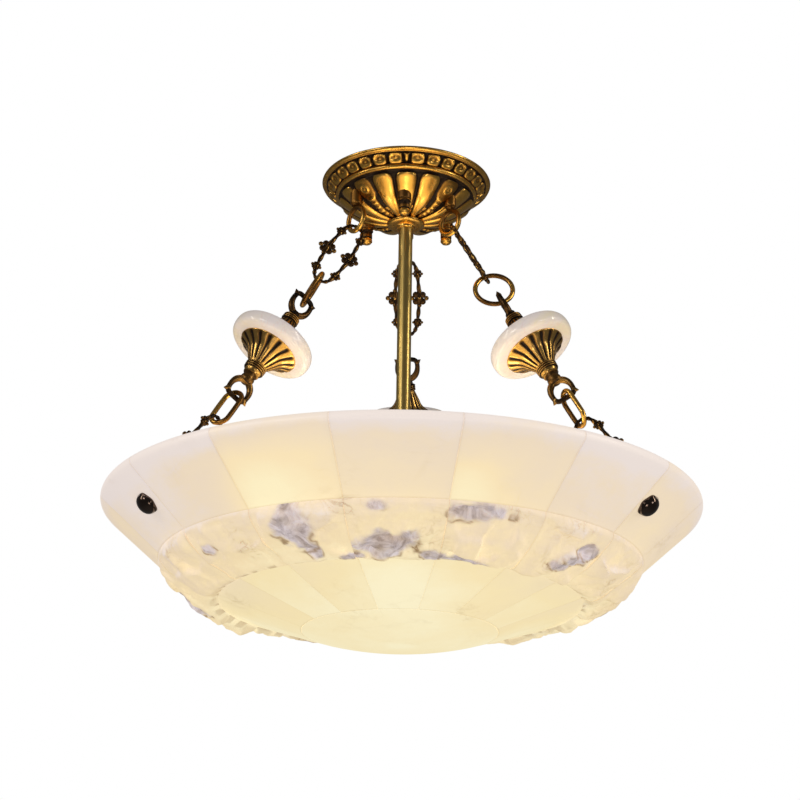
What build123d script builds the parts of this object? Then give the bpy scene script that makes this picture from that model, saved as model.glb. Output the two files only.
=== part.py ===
from build123d import *
from math import asin, atan2, cos, degrees, hypot, radians, sin
import os

os.makedirs("parts", exist_ok=True)

# Stone-mosaic bowl ceiling light, hung on three arms from a brass canopy.
# Millimetres, +Z up, origin on the ceiling plane at the centre of the canopy.

# Overall sizes
BOWL_D = 500.0
RIM_DROP = 301.5
BOWL_DEPTH = 118.0
CANOPY_D = 150.0
STAVES = 16
SEAM_AZIMUTH = 280.1
FIRST_ARM_AZIMUTH = 88.0
ARMS = 3
ARM_NAMES = ("back", "left", "right")

# Clearances
GLUE = 0.25
SEAT = 0.05
LINK_GAP = 0.3
OPEN_PIVOT_GAP = 0.8
BORE_FIT = 0.05

# Stone bowl
WALL = 10.0
BAND_R = 200.0
BAND_DEPTH = 52.0
LOWER_R = 150.0
LOWER_DEPTH = 83.5
DISC_R = 80.8
DISC_DEPTH = 106.3
ROUGH_PROUD = 12.0
ROUGH_FACE = ((0.16, 7.2), (0.58, 12.0), (0.94, 7.0))
CHIP_LEAN = 7.0
CHIP_PROUD = 8.6
CHIP_PROUD_SWING = 2.4
CHIP_H = 41.0
CHIP_SPARE = 1.0
CHIP_PHASES = (2.4, 4.1, 5.5)

# Canopy
LIP_T = 2.6
LIP_W = 4.5
CANOPY_WALL = 2.0
CORNICE_R = 61.0
CORNICE_DEPTH = 11.5
DOME_R = 59.0
DOME_VIA_R = 46.8
DOME_VIA_DEPTH = 28.0
DOME_DEPTH = 38.5
DOME_FLAT_R = 20.0
BEAD_R = 1.5
CUPS = 28
CUP_R = 3.2
FLUTES = 16
FLUTE_DEPTH = 1.3
PLATE_R = 56.0
PLATE_T = 3.0
CABLE_HOLE_R = 8.0
SCREW_SPACING = 84.0
SCREW_HOLE_R = 2.6
SCREW_SLOT = 16.0
STUD_POS_R = 41.0
STUD_R = 2.5
STUD_BOSS_R = 7.0
STUD_BOSS_Z = -35.6
STUD_BOSS_H = 10.0
CAP_NUT_R = 5.0
CAP_NUT_FLANGE_R = 6.4
CAP_NUT_FLANGE_T = 2.0
CAP_NUT_END_Z = -51.0
CAP_NUT_ROUND = 3.5
EYE_BOSS_R = 5.4
EYE_BOSS_Z = -33.0
EYE_BOSS_TOP_Z = -16.0
EYE_RING_R = 10.8
EYE_WIRE_R = 2.2
EYE_STEM_R = 2.4
EYE_COLLAR_R = 4.2
EYE_COLLAR_T = 1.2
NUT_T = 3.5
NUT_R = 4.4
TERMINAL_L = 26.0
TERMINAL_POLES = 3
TERMINAL_SCREW_H = 3.0
TERMINAL_W = 12.0
TERMINAL_H = 9.0
TERMINAL_SCREW_R = 1.8
TERMINAL_Y = 24.0

# Stem and lamps
STEM_R = 6.15
STEM_BORE_R = 4.6
STEM_THREAD_SPARE = 4.0
STEM_NUT_R = 11.0
STEM_NUT_T = 5.0
COLLAR_R = 16.7
COLLAR_T = 3.4
COLLAR_RING_R = 8.2
COLLAR_RING_T = 2.6
HUB_R = 17.0
HUB_H = 24.0
HUB_CHAMFER = 1.5
LAMP_DROP = 41.0
HUB_NUT_R = 9.0
HUB_NUT_T = 8.0
LAMPS = 3
FIRST_LAMP_AZIMUTH = 28.0
NIPPLE_R = 5.0
NIPPLE_BORE_R = 3.4
NIPPLE_OUT = 8.0
NIPPLE_SHOW = 3.0
HOLDER_R = 14.0
HOLDER_L = 42.0
HOLDER_FLOOR = 16.0
CAP_R = 6.95
CAP_L = 25.0
CAP_CHAMFER = 1.1
CAP_FIT = 0.08
GLOBE_R = 22.5
GLOBE_WAIST_ANGLE = 45.0
GLOBE_NECK_L = 12.0
GLOBE_GAP = 1.0

# Arms: where the upper pivot is, and the chain's pieces
PIVOT_R = 50.0
PIVOT_Z = -57.3
LINK_PITCH = 67.4
LINK_WIRE_R = 1.6
LINK_MID_W = 11.0
LINK_END_W = 9.5
LINK_END_X = 22.5
LINK_NOSE_W = 5.0
LINK_NOSE_R = 7.0
LINK_ELBOW_R = 12.0
ROSETTE_W = 11.6
BUD_W = 5.6
ROSETTE_T = 4.0
RING_R = 15.9
RING_WIRE_R = 2.1
YOKE_R = 9.2
YOKE_WIRE_R = 2.3
YOKE_NECK_R = 3.4
YOKE_STEM_R = 4.6
OVAL_PITCH = 33.8
OVAL_W = 8.4
OVAL_BEND_R = 8.2
OVAL_WIRE_R = 2.1
DISC_AT = 142.5
KNOB_DISC_R = 36.0
KNOB_DISC_T = 12.5
KNOB_DISC_EDGE = 5.6
UPPER_BELL_L = 27.0
UPPER_BELL_R = 20.0
UPPER_BELL_NECK_R = 7.6
LOWER_BELL_L = 25.0
LOWER_BELL_R = 26.0
LOWER_BELL_NECK_R = 9.2
BELL_BEAD_R = 1.5
BELL_BEAD_EDGE = 0.2
BELL_NECK_L = 5.4
BELL_WALL = 2.0
BELL_FLARE_AT = 0.42
BELL_FLARE_OPEN = 0.24
SPINDLE_R = 3.0
SPINDLE_IN = 3.0

# Bowl eye bolts
BOLT_DEPTH = 30.0
BOLT_R = 3.0
BOLT_HOLE_R = 3.4
BOLT_EYE_OUT = 16.0
BOLT_EYE_R = 8.0
BOLT_WIRE_R = 2.0
WASHER_R = 8.0
WASHER_T = 1.6
DOME_NUT_R = 8.6
DOME_NUT_H = 7.5
DOME_NUT_RIM_T = 2.0

# Turn of each piece about its arm's line, by arm, from the plane through the stem
LINK_TURN = {"back": 90.0, "left": 20.0, "right": 73.0}
RING_TURN = {"back": 0.0, "left": 105.0, "right": -36.0}
UPPER_YOKE_TURN = {"back": 90.0, "left": -10.0, "right": 73.0}
LOWER_YOKE_TURN = {"back": -10.0, "left": -5.0, "right": -15.0}
OVAL_TURN = {"back": 50.0, "left": 55.0, "right": 45.0}
LOWER_LINK_TURN = {"back": -25.0, "left": -25.0, "right": -25.0}
EYE_AZIMUTH = {"back": 0.0, "left": 218.0, "right": 44.0}

UP = Vector(0, 0, 1)
STAVE_ARC = 360.0 / STAVES


# Write one finished piece
def save(builder, label):
    builder.part.label = label
    export_step(builder.part, "parts/" + label + ".step")


# Level horizontal unit vector at an azimuth
def outward(azimuth):
    return Vector(cos(radians(azimuth)), sin(radians(azimuth)), 0)


# Vertical half-plane through the Z axis at an azimuth: local x is the radius, local y is height
def radial_plane(azimuth):
    side = outward(azimuth)
    return Plane(origin=(0, 0, 0), x_dir=side, z_dir=side.cross(UP))


# A horizontal plane at a height
def level(z):
    return Plane.XY.offset(z)


# Point on a flat wall piece: so far down from its upper corner, so far out from its base line
def off_line(corner, down, out, along, proud):
    return (corner[0] + down[0] * along + out[0] * proud, corner[1] + down[1] * along + out[1] * proud)


# Inner corner of the bowl wall, one wall inside an outer corner between two slopes
def inner_corner(corner, out_a, out_b):
    share = WALL / (1 + out_a[0] * out_b[0] + out_a[1] * out_b[1])
    return (corner[0] - share * (out_a[0] + out_b[0]), corner[1] - share * (out_a[1] + out_b[1]))


# Move a corner of the wall up (+) or down (-) the slope, to leave half a glue joint
def eased(corner, down, amount):
    return (corner[0] - down[0] * amount, corner[1] - down[1] * amount)


# Downward direction and outward normal of the slope from one outer corner to the next
def slope(upper, lower):
    length = hypot(upper[0] - lower[0], upper[1] - lower[1])
    down = ((lower[0] - upper[0]) / length, (lower[1] - upper[1]) / length)
    return down, (-down[1], down[0]), length


# Bowl wall: its outer corners in (radius, height), with the rim's top at -RIM_DROP
rim_r = BOWL_D / 2
lip_r = WALL / 2
lip_centre = (rim_r - lip_r, -RIM_DROP - lip_r)
band_corner = (BAND_R, -RIM_DROP - BAND_DEPTH)
lower_corner = (LOWER_R, -RIM_DROP - LOWER_DEPTH)
disc_corner = (DISC_R, -RIM_DROP - DISC_DEPTH)
pole_z = -RIM_DROP - BOWL_DEPTH
reach = hypot(lip_centre[0] - band_corner[0], lip_centre[1] - band_corner[1])
cone_tilt = atan2(lip_centre[1] - band_corner[1], lip_centre[0] - band_corner[0]) - asin(lip_r / reach)
cone_down = (-cos(cone_tilt), -sin(cone_tilt))
cone_out = (sin(cone_tilt), -cos(cone_tilt))
lip_outer = (lip_centre[0] + lip_r * cone_out[0], lip_centre[1] + lip_r * cone_out[1])
lip_inner = (lip_centre[0] - lip_r * cone_out[0], lip_centre[1] - lip_r * cone_out[1])
lip_top = (lip_centre[0] - lip_r * cone_down[0], lip_centre[1] - lip_r * cone_down[1])
rough_down, rough_out, rough_length = slope(band_corner, lower_corner)
lower_down, lower_out, lower_length = slope(lower_corner, disc_corner)
dome_rise = disc_corner[1] - pole_z
dome_sphere_r = (DISC_R**2 + dome_rise**2) / (2 * dome_rise)
disc_out = (DISC_R / dome_sphere_r, dome_rise / dome_sphere_r - 1)
band_inner = inner_corner(band_corner, cone_out, rough_out)
lower_inner = inner_corner(lower_corner, rough_out, lower_out)
disc_inner = inner_corner(disc_corner, lower_out, disc_out)
glue_arc = degrees(GLUE / BAND_R)
half_glue = GLUE / 2


# Turn a profile round by one stave, at each stave's place
def stave_ring(draw_profile):
    for stave in range(STAVES):
        with BuildSketch(radial_plane(SEAM_AZIMUTH + stave * STAVE_ARC + glue_arc / 2)) as cut_face:
            with BuildLine():
                draw_profile()
            make_face()
        revolve(cut_face.sketch, axis=Axis.Z, revolution_arc=STAVE_ARC - glue_arc)


def upper_profile():
    outer = eased(band_corner, cone_down, half_glue)
    inner = eased(band_inner, cone_down, half_glue)
    Line(lip_outer, outer)
    Line(outer, inner)
    Line(inner, lip_inner)
    ThreePointArc(lip_inner, lip_top, lip_outer)


def rough_profile():
    Polyline(
        eased(band_inner, rough_down, -half_glue),
        eased(band_corner, rough_down, -half_glue),
        *[off_line(band_corner, rough_down, rough_out, share * rough_length, proud)
          for share, proud in ROUGH_FACE],
        eased(lower_corner, rough_down, half_glue),
        eased(lower_inner, rough_down, half_glue),
        close=True,
    )


def lower_profile():
    Polyline(
        eased(lower_inner, lower_down, -half_glue),
        eased(lower_corner, lower_down, -half_glue),
        eased(disc_corner, lower_down, half_glue),
        eased(disc_inner, lower_down, half_glue),
        close=True,
    )


# Bolt through the wall of the bowl: local +Z points out of the bowl, local X is level
bolt_r = band_corner[0] + (BAND_DEPTH - BOLT_DEPTH) * cone_down[0] / cone_down[1]
bolt_z = -RIM_DROP - BOLT_DEPTH
bolt_eye_in = WALL + BOLT_EYE_OUT
bolt_pivot_in = bolt_eye_in + BOLT_EYE_R
bolt_pivot = (bolt_r - cone_out[0] * bolt_pivot_in, bolt_z - cone_out[1] * bolt_pivot_in)


def bolt_plane(name):
    side = outward(arm_azimuth[name])
    return Plane(
        origin=side * bolt_r + UP * bolt_z,
        x_dir=UP.cross(side),
        z_dir=side * cone_out[0] + UP * cone_out[1],
    )


# Line of an arm, from its upper pivot to the wire of the eye in the bowl
arm_azimuth = {name: FIRST_ARM_AZIMUTH + k * 360.0 / ARMS for k, name in enumerate(ARM_NAMES)}
arm_span = hypot(bolt_pivot[0] - PIVOT_R, bolt_pivot[1] - PIVOT_Z)
arm_out = (bolt_pivot[0] - PIVOT_R) / arm_span
arm_down = (PIVOT_Z - bolt_pivot[1]) / arm_span


# Plane of an arm piece: local X runs down the arm, local Z is the plane's normal
def arm_plane(name, distance, turn=0.0):
    side = outward(arm_azimuth[name])
    along = side * arm_out - UP * arm_down
    across = UP.cross(side)
    normal = across * cos(radians(turn)) + along.cross(across) * sin(radians(turn))
    return Plane(origin=side * PIVOT_R + UP * PIVOT_Z + along * distance, x_dir=along, z_dir=normal)


spindle_bore_r = SPINDLE_R + BORE_FIT

# Where each piece's wire crosses the arm's line, counted from the upper pivot
link_top = -(EYE_WIRE_R + LINK_WIRE_R + LINK_GAP)
link_bottom = link_top + LINK_PITCH
ring_at = link_bottom - (LINK_WIRE_R + RING_WIRE_R + LINK_GAP) + RING_R
upper_yoke_at = ring_at + RING_R - (RING_WIRE_R + YOKE_WIRE_R + LINK_GAP) + YOKE_R
low_link_bottom = arm_span + BOLT_WIRE_R + LINK_WIRE_R + OPEN_PIVOT_GAP
low_link_top = low_link_bottom - LINK_PITCH
oval_bottom = low_link_top + LINK_WIRE_R + OVAL_WIRE_R + LINK_GAP
oval_top = oval_bottom - OVAL_PITCH
lower_yoke_at = oval_top + OVAL_WIRE_R + YOKE_WIRE_R + LINK_GAP - YOKE_R
disc_top = DISC_AT - KNOB_DISC_T / 2
disc_bottom = DISC_AT + KNOB_DISC_T / 2
upper_bell_top = disc_top - UPPER_BELL_L
lower_bell_end = disc_bottom + LOWER_BELL_L


# Pierced link, made once: a round wire bent to a long six-sided loop, with six rosettes
nose_x = LINK_PITCH / 2
link_corners = [(-nose_x, -LINK_NOSE_W), (-LINK_END_X, -LINK_END_W), (0, -LINK_MID_W)]
link_corners += [(LINK_END_X, -LINK_END_W), (nose_x, -LINK_NOSE_W)]
link_corners += [(x, -y) for x, y in reversed(link_corners)]
link_radii = [LINK_NOSE_R, LINK_ELBOW_R, LINK_ELBOW_R, LINK_ELBOW_R, LINK_NOSE_R] * 2
link_buds = [(x, y) for x in (-LINK_END_X, LINK_END_X) for y in (-LINK_END_W, LINK_END_W)]
with BuildPart() as link_form:
    with BuildLine() as link_path:
        FilletPolyline(*link_corners, radius=link_radii, close=True)
    for edge in link_path.edges():
        with BuildSketch(Plane(origin=edge @ 0, z_dir=edge % 0)) as bar:
            Circle(LINK_WIRE_R)
        if edge.geom_type == GeomType.CIRCLE:
            bend = Axis(edge.arc_center, (edge % 0).cross(edge @ 1 - edge @ 0))
            revolve(bar.sketch, axis=bend, revolution_arc=degrees(edge.length / edge.radius))
        else:
            extrude(bar.sketch, amount=edge.length)
    with Locations(*link_buds):
        Box(BUD_W, BUD_W, ROSETTE_T, rotation=(0, 0, 45))
    with Locations((0, -LINK_MID_W), (0, LINK_MID_W)):
        Box(ROSETTE_W, ROSETTE_W, ROSETTE_T, rotation=(0, 0, 45))


# Pierced link on a plane of its arm
def link(plane, label):
    with BuildPart() as body:
        add(link_form.part.moved(plane.location))
    save(body, label)


# Yoke: an eye for the next link, on a tapered stem drilled for the spindle
def yoke(name, centre, turn, seat, label):
    facing = 1 if seat > centre else -1
    depth = abs(seat - centre)
    with BuildPart(arm_plane(name, centre, turn)) as body:
        Torus(YOKE_R, YOKE_WIRE_R)
        with BuildSketch(arm_plane(name, centre, turn)):
            with BuildLine():
                Polyline(
                    (facing * YOKE_R, 0),
                    (facing * depth, 0),
                    (facing * depth, YOKE_STEM_R),
                    (facing * YOKE_R, YOKE_NECK_R),
                    close=True,
                )
            make_face()
        line = arm_plane(name, centre, turn)
        revolve(axis=Axis(line.origin, line.x_dir))
        with BuildSketch(arm_plane(name, seat - facing * SPINDLE_IN)):
            with BuildLine():
                Polyline((0, 0), (facing * SPINDLE_IN, 0), (facing * SPINDLE_IN, spindle_bore_r),
                         (0, spindle_bore_r), close=True)
            make_face()
        revolve(axis=Axis(line.origin, line.x_dir), mode=Mode.SUBTRACT)
    save(body, label)


# Bell: a thin flared casting with a beaded neck, its mouth flat on the stone disc
def bell(name, mouth, facing, length, mouth_r, neck_r, label):
    plane = arm_plane(name, mouth)
    neck_x = facing * (length - BELL_NECK_L)
    end_x = facing * length
    flare_x = facing * BELL_FLARE_AT * length
    flare_r = neck_r + BELL_FLARE_OPEN * (mouth_r - neck_r)
    bead_in = BELL_BEAD_R + BELL_BEAD_EDGE
    beads = [(neck_x + facing * bead_in, neck_r - BELL_BEAD_R),
             (end_x - facing * bead_in, neck_r - BELL_BEAD_R)]
    with BuildPart() as body:
        with BuildSketch(plane):
            with BuildLine():
                ThreePointArc((0, mouth_r), (flare_x, flare_r), (neck_x, neck_r - BELL_BEAD_R))
                Polyline(
                    (neck_x, neck_r - BELL_BEAD_R),
                    (end_x, neck_r - BELL_BEAD_R),
                    (end_x, spindle_bore_r),
                    (neck_x - facing * BELL_WALL, spindle_bore_r),
                    (neck_x - facing * BELL_WALL, neck_r - BELL_BEAD_R - BELL_WALL),
                )
                ThreePointArc(
                    (neck_x - facing * BELL_WALL, neck_r - BELL_BEAD_R - BELL_WALL),
                    (flare_x - facing * BELL_WALL, flare_r - BELL_WALL),
                    (0, mouth_r - BELL_WALL),
                )
                Line((0, mouth_r - BELL_WALL), (0, mouth_r))
            make_face()
            with Locations(*beads):
                Circle(BELL_BEAD_R)
        revolve(axis=Axis(plane.origin, plane.x_dir))
    save(body, label)


# Stone disc with a rounded edge, bored for the spindle
def knob_disc(name, label):
    plane = arm_plane(name, DISC_AT)
    half = KNOB_DISC_T / 2
    with BuildPart() as body:
        with BuildSketch(plane):
            with Locations((0, (KNOB_DISC_R + spindle_bore_r) / 2)):
                Rectangle(KNOB_DISC_T, KNOB_DISC_R - spindle_bore_r)
        revolve(axis=Axis(plane.origin, plane.x_dir))
        fillet(body.edges().filter_by(GeomType.CIRCLE).filter_by(
            lambda edge: edge.radius > KNOB_DISC_R - half), KNOB_DISC_EDGE)
    save(body, label)


# Plain rod on an arm's line
def arm_rod(name, start, end, radius, label):
    plane = arm_plane(name, start)
    with BuildPart() as body:
        with BuildSketch(Plane(origin=plane.origin, z_dir=plane.x_dir)):
            Circle(radius)
        extrude(amount=end - start)
    save(body, label)


# Oval link bent from round wire
def oval_link(name, label):
    plane = arm_plane(name, (oval_top + oval_bottom) / 2, OVAL_TURN[name])
    end_x = OVAL_PITCH / 2
    with BuildPart() as body:
        with BuildLine(plane) as path:
            FilletPolyline((-end_x, -OVAL_W), (end_x, -OVAL_W), (end_x, OVAL_W), (-end_x, OVAL_W),
                           radius=OVAL_BEND_R, close=True)
        with BuildSketch(Plane(origin=path.line @ 0, z_dir=path.line % 0)):
            Circle(OVAL_WIRE_R)
        sweep(path=path.line)
    save(body, label)


for name in ARM_NAMES:
    prefix = "arm_" + name + "_"
    link(arm_plane(name, (link_top + link_bottom) / 2, LINK_TURN[name]), prefix + "upper_link")
    with BuildPart(arm_plane(name, ring_at, RING_TURN[name])) as ring:
        Torus(RING_R, RING_WIRE_R)
    save(ring, prefix + "ring")
    yoke(name, upper_yoke_at, UPPER_YOKE_TURN[name], upper_bell_top, prefix + "upper_yoke")
    bell(name, disc_top, -1, UPPER_BELL_L, UPPER_BELL_R, UPPER_BELL_NECK_R, prefix + "upper_bell")
    knob_disc(name, prefix + "stone_disc")
    bell(name, disc_bottom, 1, LOWER_BELL_L, LOWER_BELL_R, LOWER_BELL_NECK_R, prefix + "lower_bell")
    arm_rod(
        name,
        upper_bell_top - SPINDLE_IN + SEAT,
        lower_bell_end + SPINDLE_IN - SEAT,
        SPINDLE_R,
        prefix + "spindle",
    )
    yoke(name, lower_yoke_at, LOWER_YOKE_TURN[name], lower_bell_end, prefix + "lower_yoke")
    oval_link(name, prefix + "oval_link")
    low_middle = (low_link_top + low_link_bottom) / 2
    link(arm_plane(name, low_middle, LOWER_LINK_TURN[name]), prefix + "lower_link")

# Stone bowl: three rings of glued blocks and a centre disc
bolt_planes = [bolt_plane(name) for name in ARM_NAMES]

with BuildPart() as upper_staves:
    stave_ring(upper_profile)
    with BuildSketch(*bolt_planes):
        Circle(BOLT_HOLE_R)
    extrude(amount=WALL * 2, both=True, mode=Mode.SUBTRACT)
save(upper_staves, "bowl_upper_staves")

# Split faces: each rough block is dressed back by two flats that lean different ways
chips = []
for chip in range(2 * STAVES):
    side = outward(SEAM_AZIMUTH + (chip + 1 / 2) * STAVE_ARC / 2)
    proud, lean_down, lean_side = [sin(phase * chip) for phase in CHIP_PHASES]
    foot = off_line(band_corner, rough_down, rough_out, rough_length / 2,
                    CHIP_PROUD + CHIP_PROUD_SWING * proud)
    face = Plane(
        origin=side * foot[0] + UP * foot[1],
        x_dir=UP.cross(side),
        z_dir=side * rough_out[0] + UP * rough_out[1],
    )
    chips.append(face.rotated((CHIP_LEAN * lean_down, CHIP_LEAN * lean_side, 0)))
chip_w = 2 * BAND_R * sin(radians(STAVE_ARC / 4)) - CHIP_SPARE

with BuildPart(*chips) as cuts:
    Box(chip_w, CHIP_H, ROUGH_PROUD, align=(Align.CENTER, Align.CENTER, Align.MIN))

with BuildPart() as rough_blocks:
    stave_ring(rough_profile)
    add(cuts.part, mode=Mode.SUBTRACT)
save(rough_blocks, "bowl_rough_blocks")

with BuildPart() as lower_staves:
    stave_ring(lower_profile)
save(lower_staves, "bowl_lower_staves")


# Radius of the sphere with its pole on the axis through an edge point
def cap_sphere_r(edge_r, rise):
    return (edge_r**2 + rise**2) / (2 * rise)


with BuildPart() as centre_disc:
    edge = eased(disc_corner, lower_down, -half_glue)
    edge_in = eased(disc_inner, lower_down, -half_glue)
    cap_r = cap_sphere_r(edge[0], edge[1] - pole_z)
    cap_in_r = cap_sphere_r(edge_in[0], edge_in[1] - pole_z - WALL)
    with BuildSketch(Plane.XZ):
        with BuildLine():
            RadiusArc((0, pole_z), edge, -cap_r)
            Line(edge, edge_in)
            RadiusArc(edge_in, (0, pole_z + WALL), cap_in_r)
            Line((0, pole_z + WALL), (0, pole_z))
        make_face()
    revolve(axis=Axis.Z)
save(centre_disc, "bowl_centre_disc")

# Fasteners of the arms in the bowl wall
washer_lift = WASHER_R**2 / (2 * bolt_r) + SEAT
in_collar_z = -(WALL + washer_lift + WASHER_T)
bolt_end = SEAT + DOME_NUT_H / 2
dome_nut_crown_r = DOME_NUT_R - DOME_NUT_RIM_T / 2
dome_nut_sphere_r = cap_sphere_r(dome_nut_crown_r, DOME_NUT_H - DOME_NUT_RIM_T)

with BuildPart(*bolt_planes) as eye_bolts:
    with Locations((0, 0, -bolt_eye_in)):
        Torus(BOLT_EYE_R, BOLT_WIRE_R, rotation=(90, 0, 0))
    with Locations((0, 0, BOLT_EYE_R - bolt_eye_in)):
        Cylinder(BOLT_R, bolt_eye_in - BOLT_EYE_R + bolt_end, align=(Align.CENTER, Align.CENTER, Align.MIN))
    with Locations((0, 0, in_collar_z)):
        Cylinder(WASHER_R - WASHER_T, WASHER_T, align=(Align.CENTER, Align.CENTER, Align.MAX))
save(eye_bolts, "bowl_eye_bolts")

with BuildPart(*bolt_planes) as washers:
    with Locations((0, 0, in_collar_z)):
        Cylinder(WASHER_R, WASHER_T, align=(Align.CENTER, Align.CENTER, Align.MIN))
        Cylinder(BOLT_R + BORE_FIT, 2 * WASHER_T, mode=Mode.SUBTRACT)
save(washers, "bowl_inner_washers")

with BuildPart() as dome_nuts:
    for plane in bolt_planes:
        seat = plane.offset(SEAT)
        with BuildSketch(Plane(origin=seat.origin, x_dir=seat.x_dir, z_dir=-seat.y_dir)):
            with BuildLine():
                Polyline((0, bolt_end), (BOLT_R + BORE_FIT, bolt_end), (BOLT_R + BORE_FIT, 0),
                         (DOME_NUT_R, 0), (DOME_NUT_R, DOME_NUT_RIM_T), (dome_nut_crown_r, DOME_NUT_RIM_T))
                RadiusArc((dome_nut_crown_r, DOME_NUT_RIM_T), (0, DOME_NUT_H), -dome_nut_sphere_r)
                Line((0, DOME_NUT_H), (0, bolt_end))
            make_face()
        revolve(axis=Axis(seat.origin, seat.z_dir))
save(dome_nuts, "bowl_dome_nuts")

# Canopy: where the eyes and the studs go through it
stud_places = [outward(arm_azimuth[name] + 180.0) * STUD_POS_R for name in ARM_NAMES]
eye_centre = {}
for name in ARM_NAMES:
    side = outward(arm_azimuth[name])
    normal = outward(EYE_AZIMUTH[name])
    along = side * arm_out - UP * arm_down
    pull = (along - normal * along.dot(normal)).normalized()
    eye_centre[name] = side * PIVOT_R + UP * PIVOT_Z - pull * EYE_RING_R
eye_places = [(eye_centre[name].X, eye_centre[name].Y) for name in ARM_NAMES]

# Canopy: a cast shell with a flat lip, a band of cups, a bead and a fluted dome
lip_inner_r = CANOPY_D / 2 - LIP_W
dome_start = (DOME_R, -CORNICE_DEPTH - 2 * BEAD_R)
dome_via = (DOME_VIA_R, -DOME_VIA_DEPTH)
dome_end = (DOME_FLAT_R, -DOME_DEPTH)
inner_start = (dome_start[0] - CANOPY_WALL, dome_start[1])
inner_via = (dome_via[0] - CANOPY_WALL, dome_via[1] + CANOPY_WALL)
inner_end = (dome_end[0], dome_end[1] + CANOPY_WALL)

with BuildPart() as flute_cuts:
    for flute in range(FLUTES):
        with BuildLine(radial_plane((flute + 0.5) * 360.0 / FLUTES)) as groove:
            ThreePointArc(dome_start, dome_via, dome_end)
        with BuildSketch(Plane(origin=groove.line @ 0, z_dir=groove.line % 0)):
            Circle(FLUTE_DEPTH)
        sweep(path=groove.line)

with BuildPart() as canopy:
    with BuildSketch(Plane.XZ):
        with BuildLine():
            Polyline((0, -DOME_DEPTH), (0, 0), (CANOPY_D / 2, 0), (CANOPY_D / 2, -LIP_T),
                     (lip_inner_r, -LIP_T), (CORNICE_R, -CORNICE_DEPTH), dome_start)
            ThreePointArc(dome_start, dome_via, dome_end)
            Line(dome_end, (0, -DOME_DEPTH))
        make_face()
    revolve(axis=Axis.Z)
    add(flute_cuts.part, mode=Mode.SUBTRACT)
    with Locations((0, 0, -CORNICE_DEPTH - BEAD_R)):
        Torus(CORNICE_R - BEAD_R, BEAD_R)
    with PolarLocations((lip_inner_r + CORNICE_R) / 2, CUPS):
        with Locations((0, 0, -(LIP_T + CORNICE_DEPTH) / 2)):
            Sphere(CUP_R)
    with BuildSketch(Plane.XZ):
        with BuildLine():
            Polyline((0, inner_end[1]), (0, 0), (lip_inner_r - CANOPY_WALL, 0),
                     (CORNICE_R - CANOPY_WALL - BEAD_R, -CORNICE_DEPTH), inner_start)
            ThreePointArc(inner_start, inner_via, inner_end)
            Line(inner_end, (0, inner_end[1]))
        make_face()
    revolve(axis=Axis.Z, mode=Mode.SUBTRACT)
    with BuildSketch(level(EYE_BOSS_Z)):
        with Locations(*eye_places):
            Circle(EYE_BOSS_R)
    extrude(amount=EYE_BOSS_TOP_Z - EYE_BOSS_Z)
    with BuildSketch(level(STUD_BOSS_Z)):
        with Locations(*stud_places):
            Circle(STUD_BOSS_R)
    extrude(amount=STUD_BOSS_H)
    with BuildSketch(level(-DOME_DEPTH)):
        Circle(STEM_R + BORE_FIT)
        with Locations(*stud_places):
            Circle(STUD_R + BORE_FIT)
        with Locations(*eye_places):
            Circle(EYE_STEM_R + BORE_FIT)
    extrude(amount=DOME_DEPTH, mode=Mode.SUBTRACT)
save(canopy, "canopy_shell")


# Ceiling plate hidden in the canopy, with slots for the ceiling screws and the cable hole
with BuildPart() as mounting_plate:
    with BuildSketch(level(-PLATE_T)):
        Circle(PLATE_R)
        Circle(CABLE_HOLE_R, mode=Mode.SUBTRACT)
        with Locations((-SCREW_SPACING / 2, 0), (SCREW_SPACING / 2, 0)):
            SlotOverall(SCREW_SLOT, 2 * SCREW_HOLE_R, mode=Mode.SUBTRACT)
        with Locations(*stud_places):
            Circle(STUD_R + BORE_FIT, mode=Mode.SUBTRACT)
    extrude(amount=PLATE_T)
save(mounting_plate, "mounting_plate")


# Round posts of one size between two heights, one at each place
def posts(places, radius, low, high, mode=Mode.ADD):
    with BuildSketch(level(low)) as ends:
        with Locations(*places):
            Circle(radius)
    extrude(ends.sketch, amount=high - low, mode=mode)


cap_nut_face = STUD_BOSS_Z - SEAT
stud_end_z = (cap_nut_face + CAP_NUT_END_Z) / 2

with BuildPart() as plate_studs:
    posts(stud_places, STUD_R, stud_end_z, -SEAT)
    posts(stud_places, NUT_R, -PLATE_T - SEAT - NUT_T, -PLATE_T - SEAT)
save(plate_studs, "plate_studs")

with BuildPart() as cap_nuts:
    posts(stud_places, CAP_NUT_R, CAP_NUT_END_Z, cap_nut_face)
    fillet(cap_nuts.edges().group_by(Axis.Z)[0], CAP_NUT_ROUND)
    posts(stud_places, CAP_NUT_FLANGE_R, cap_nut_face - CAP_NUT_FLANGE_T, cap_nut_face)
    posts(stud_places, STUD_R + BORE_FIT, stud_end_z - SEAT, cap_nut_face, Mode.SUBTRACT)
save(cap_nuts, "canopy_cap_nuts")

# Ring eyes under the canopy, each locked by a nut inside
eye_top_z = EYE_BOSS_TOP_Z + NUT_T + EYE_STEM_R
with BuildPart() as canopy_eyes:
    for name in ARM_NAMES:
        centre = eye_centre[name]
        with Locations(Plane(origin=centre, z_dir=outward(EYE_AZIMUTH[name]))):
            Torus(EYE_RING_R, EYE_WIRE_R)
        posts([(centre.X, centre.Y)], EYE_STEM_R, centre.Z + EYE_RING_R, eye_top_z)
        posts([(centre.X, centre.Y)], EYE_COLLAR_R, EYE_BOSS_Z - SEAT - EYE_COLLAR_T, EYE_BOSS_Z - SEAT)
save(canopy_eyes, "canopy_eyes")

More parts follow.
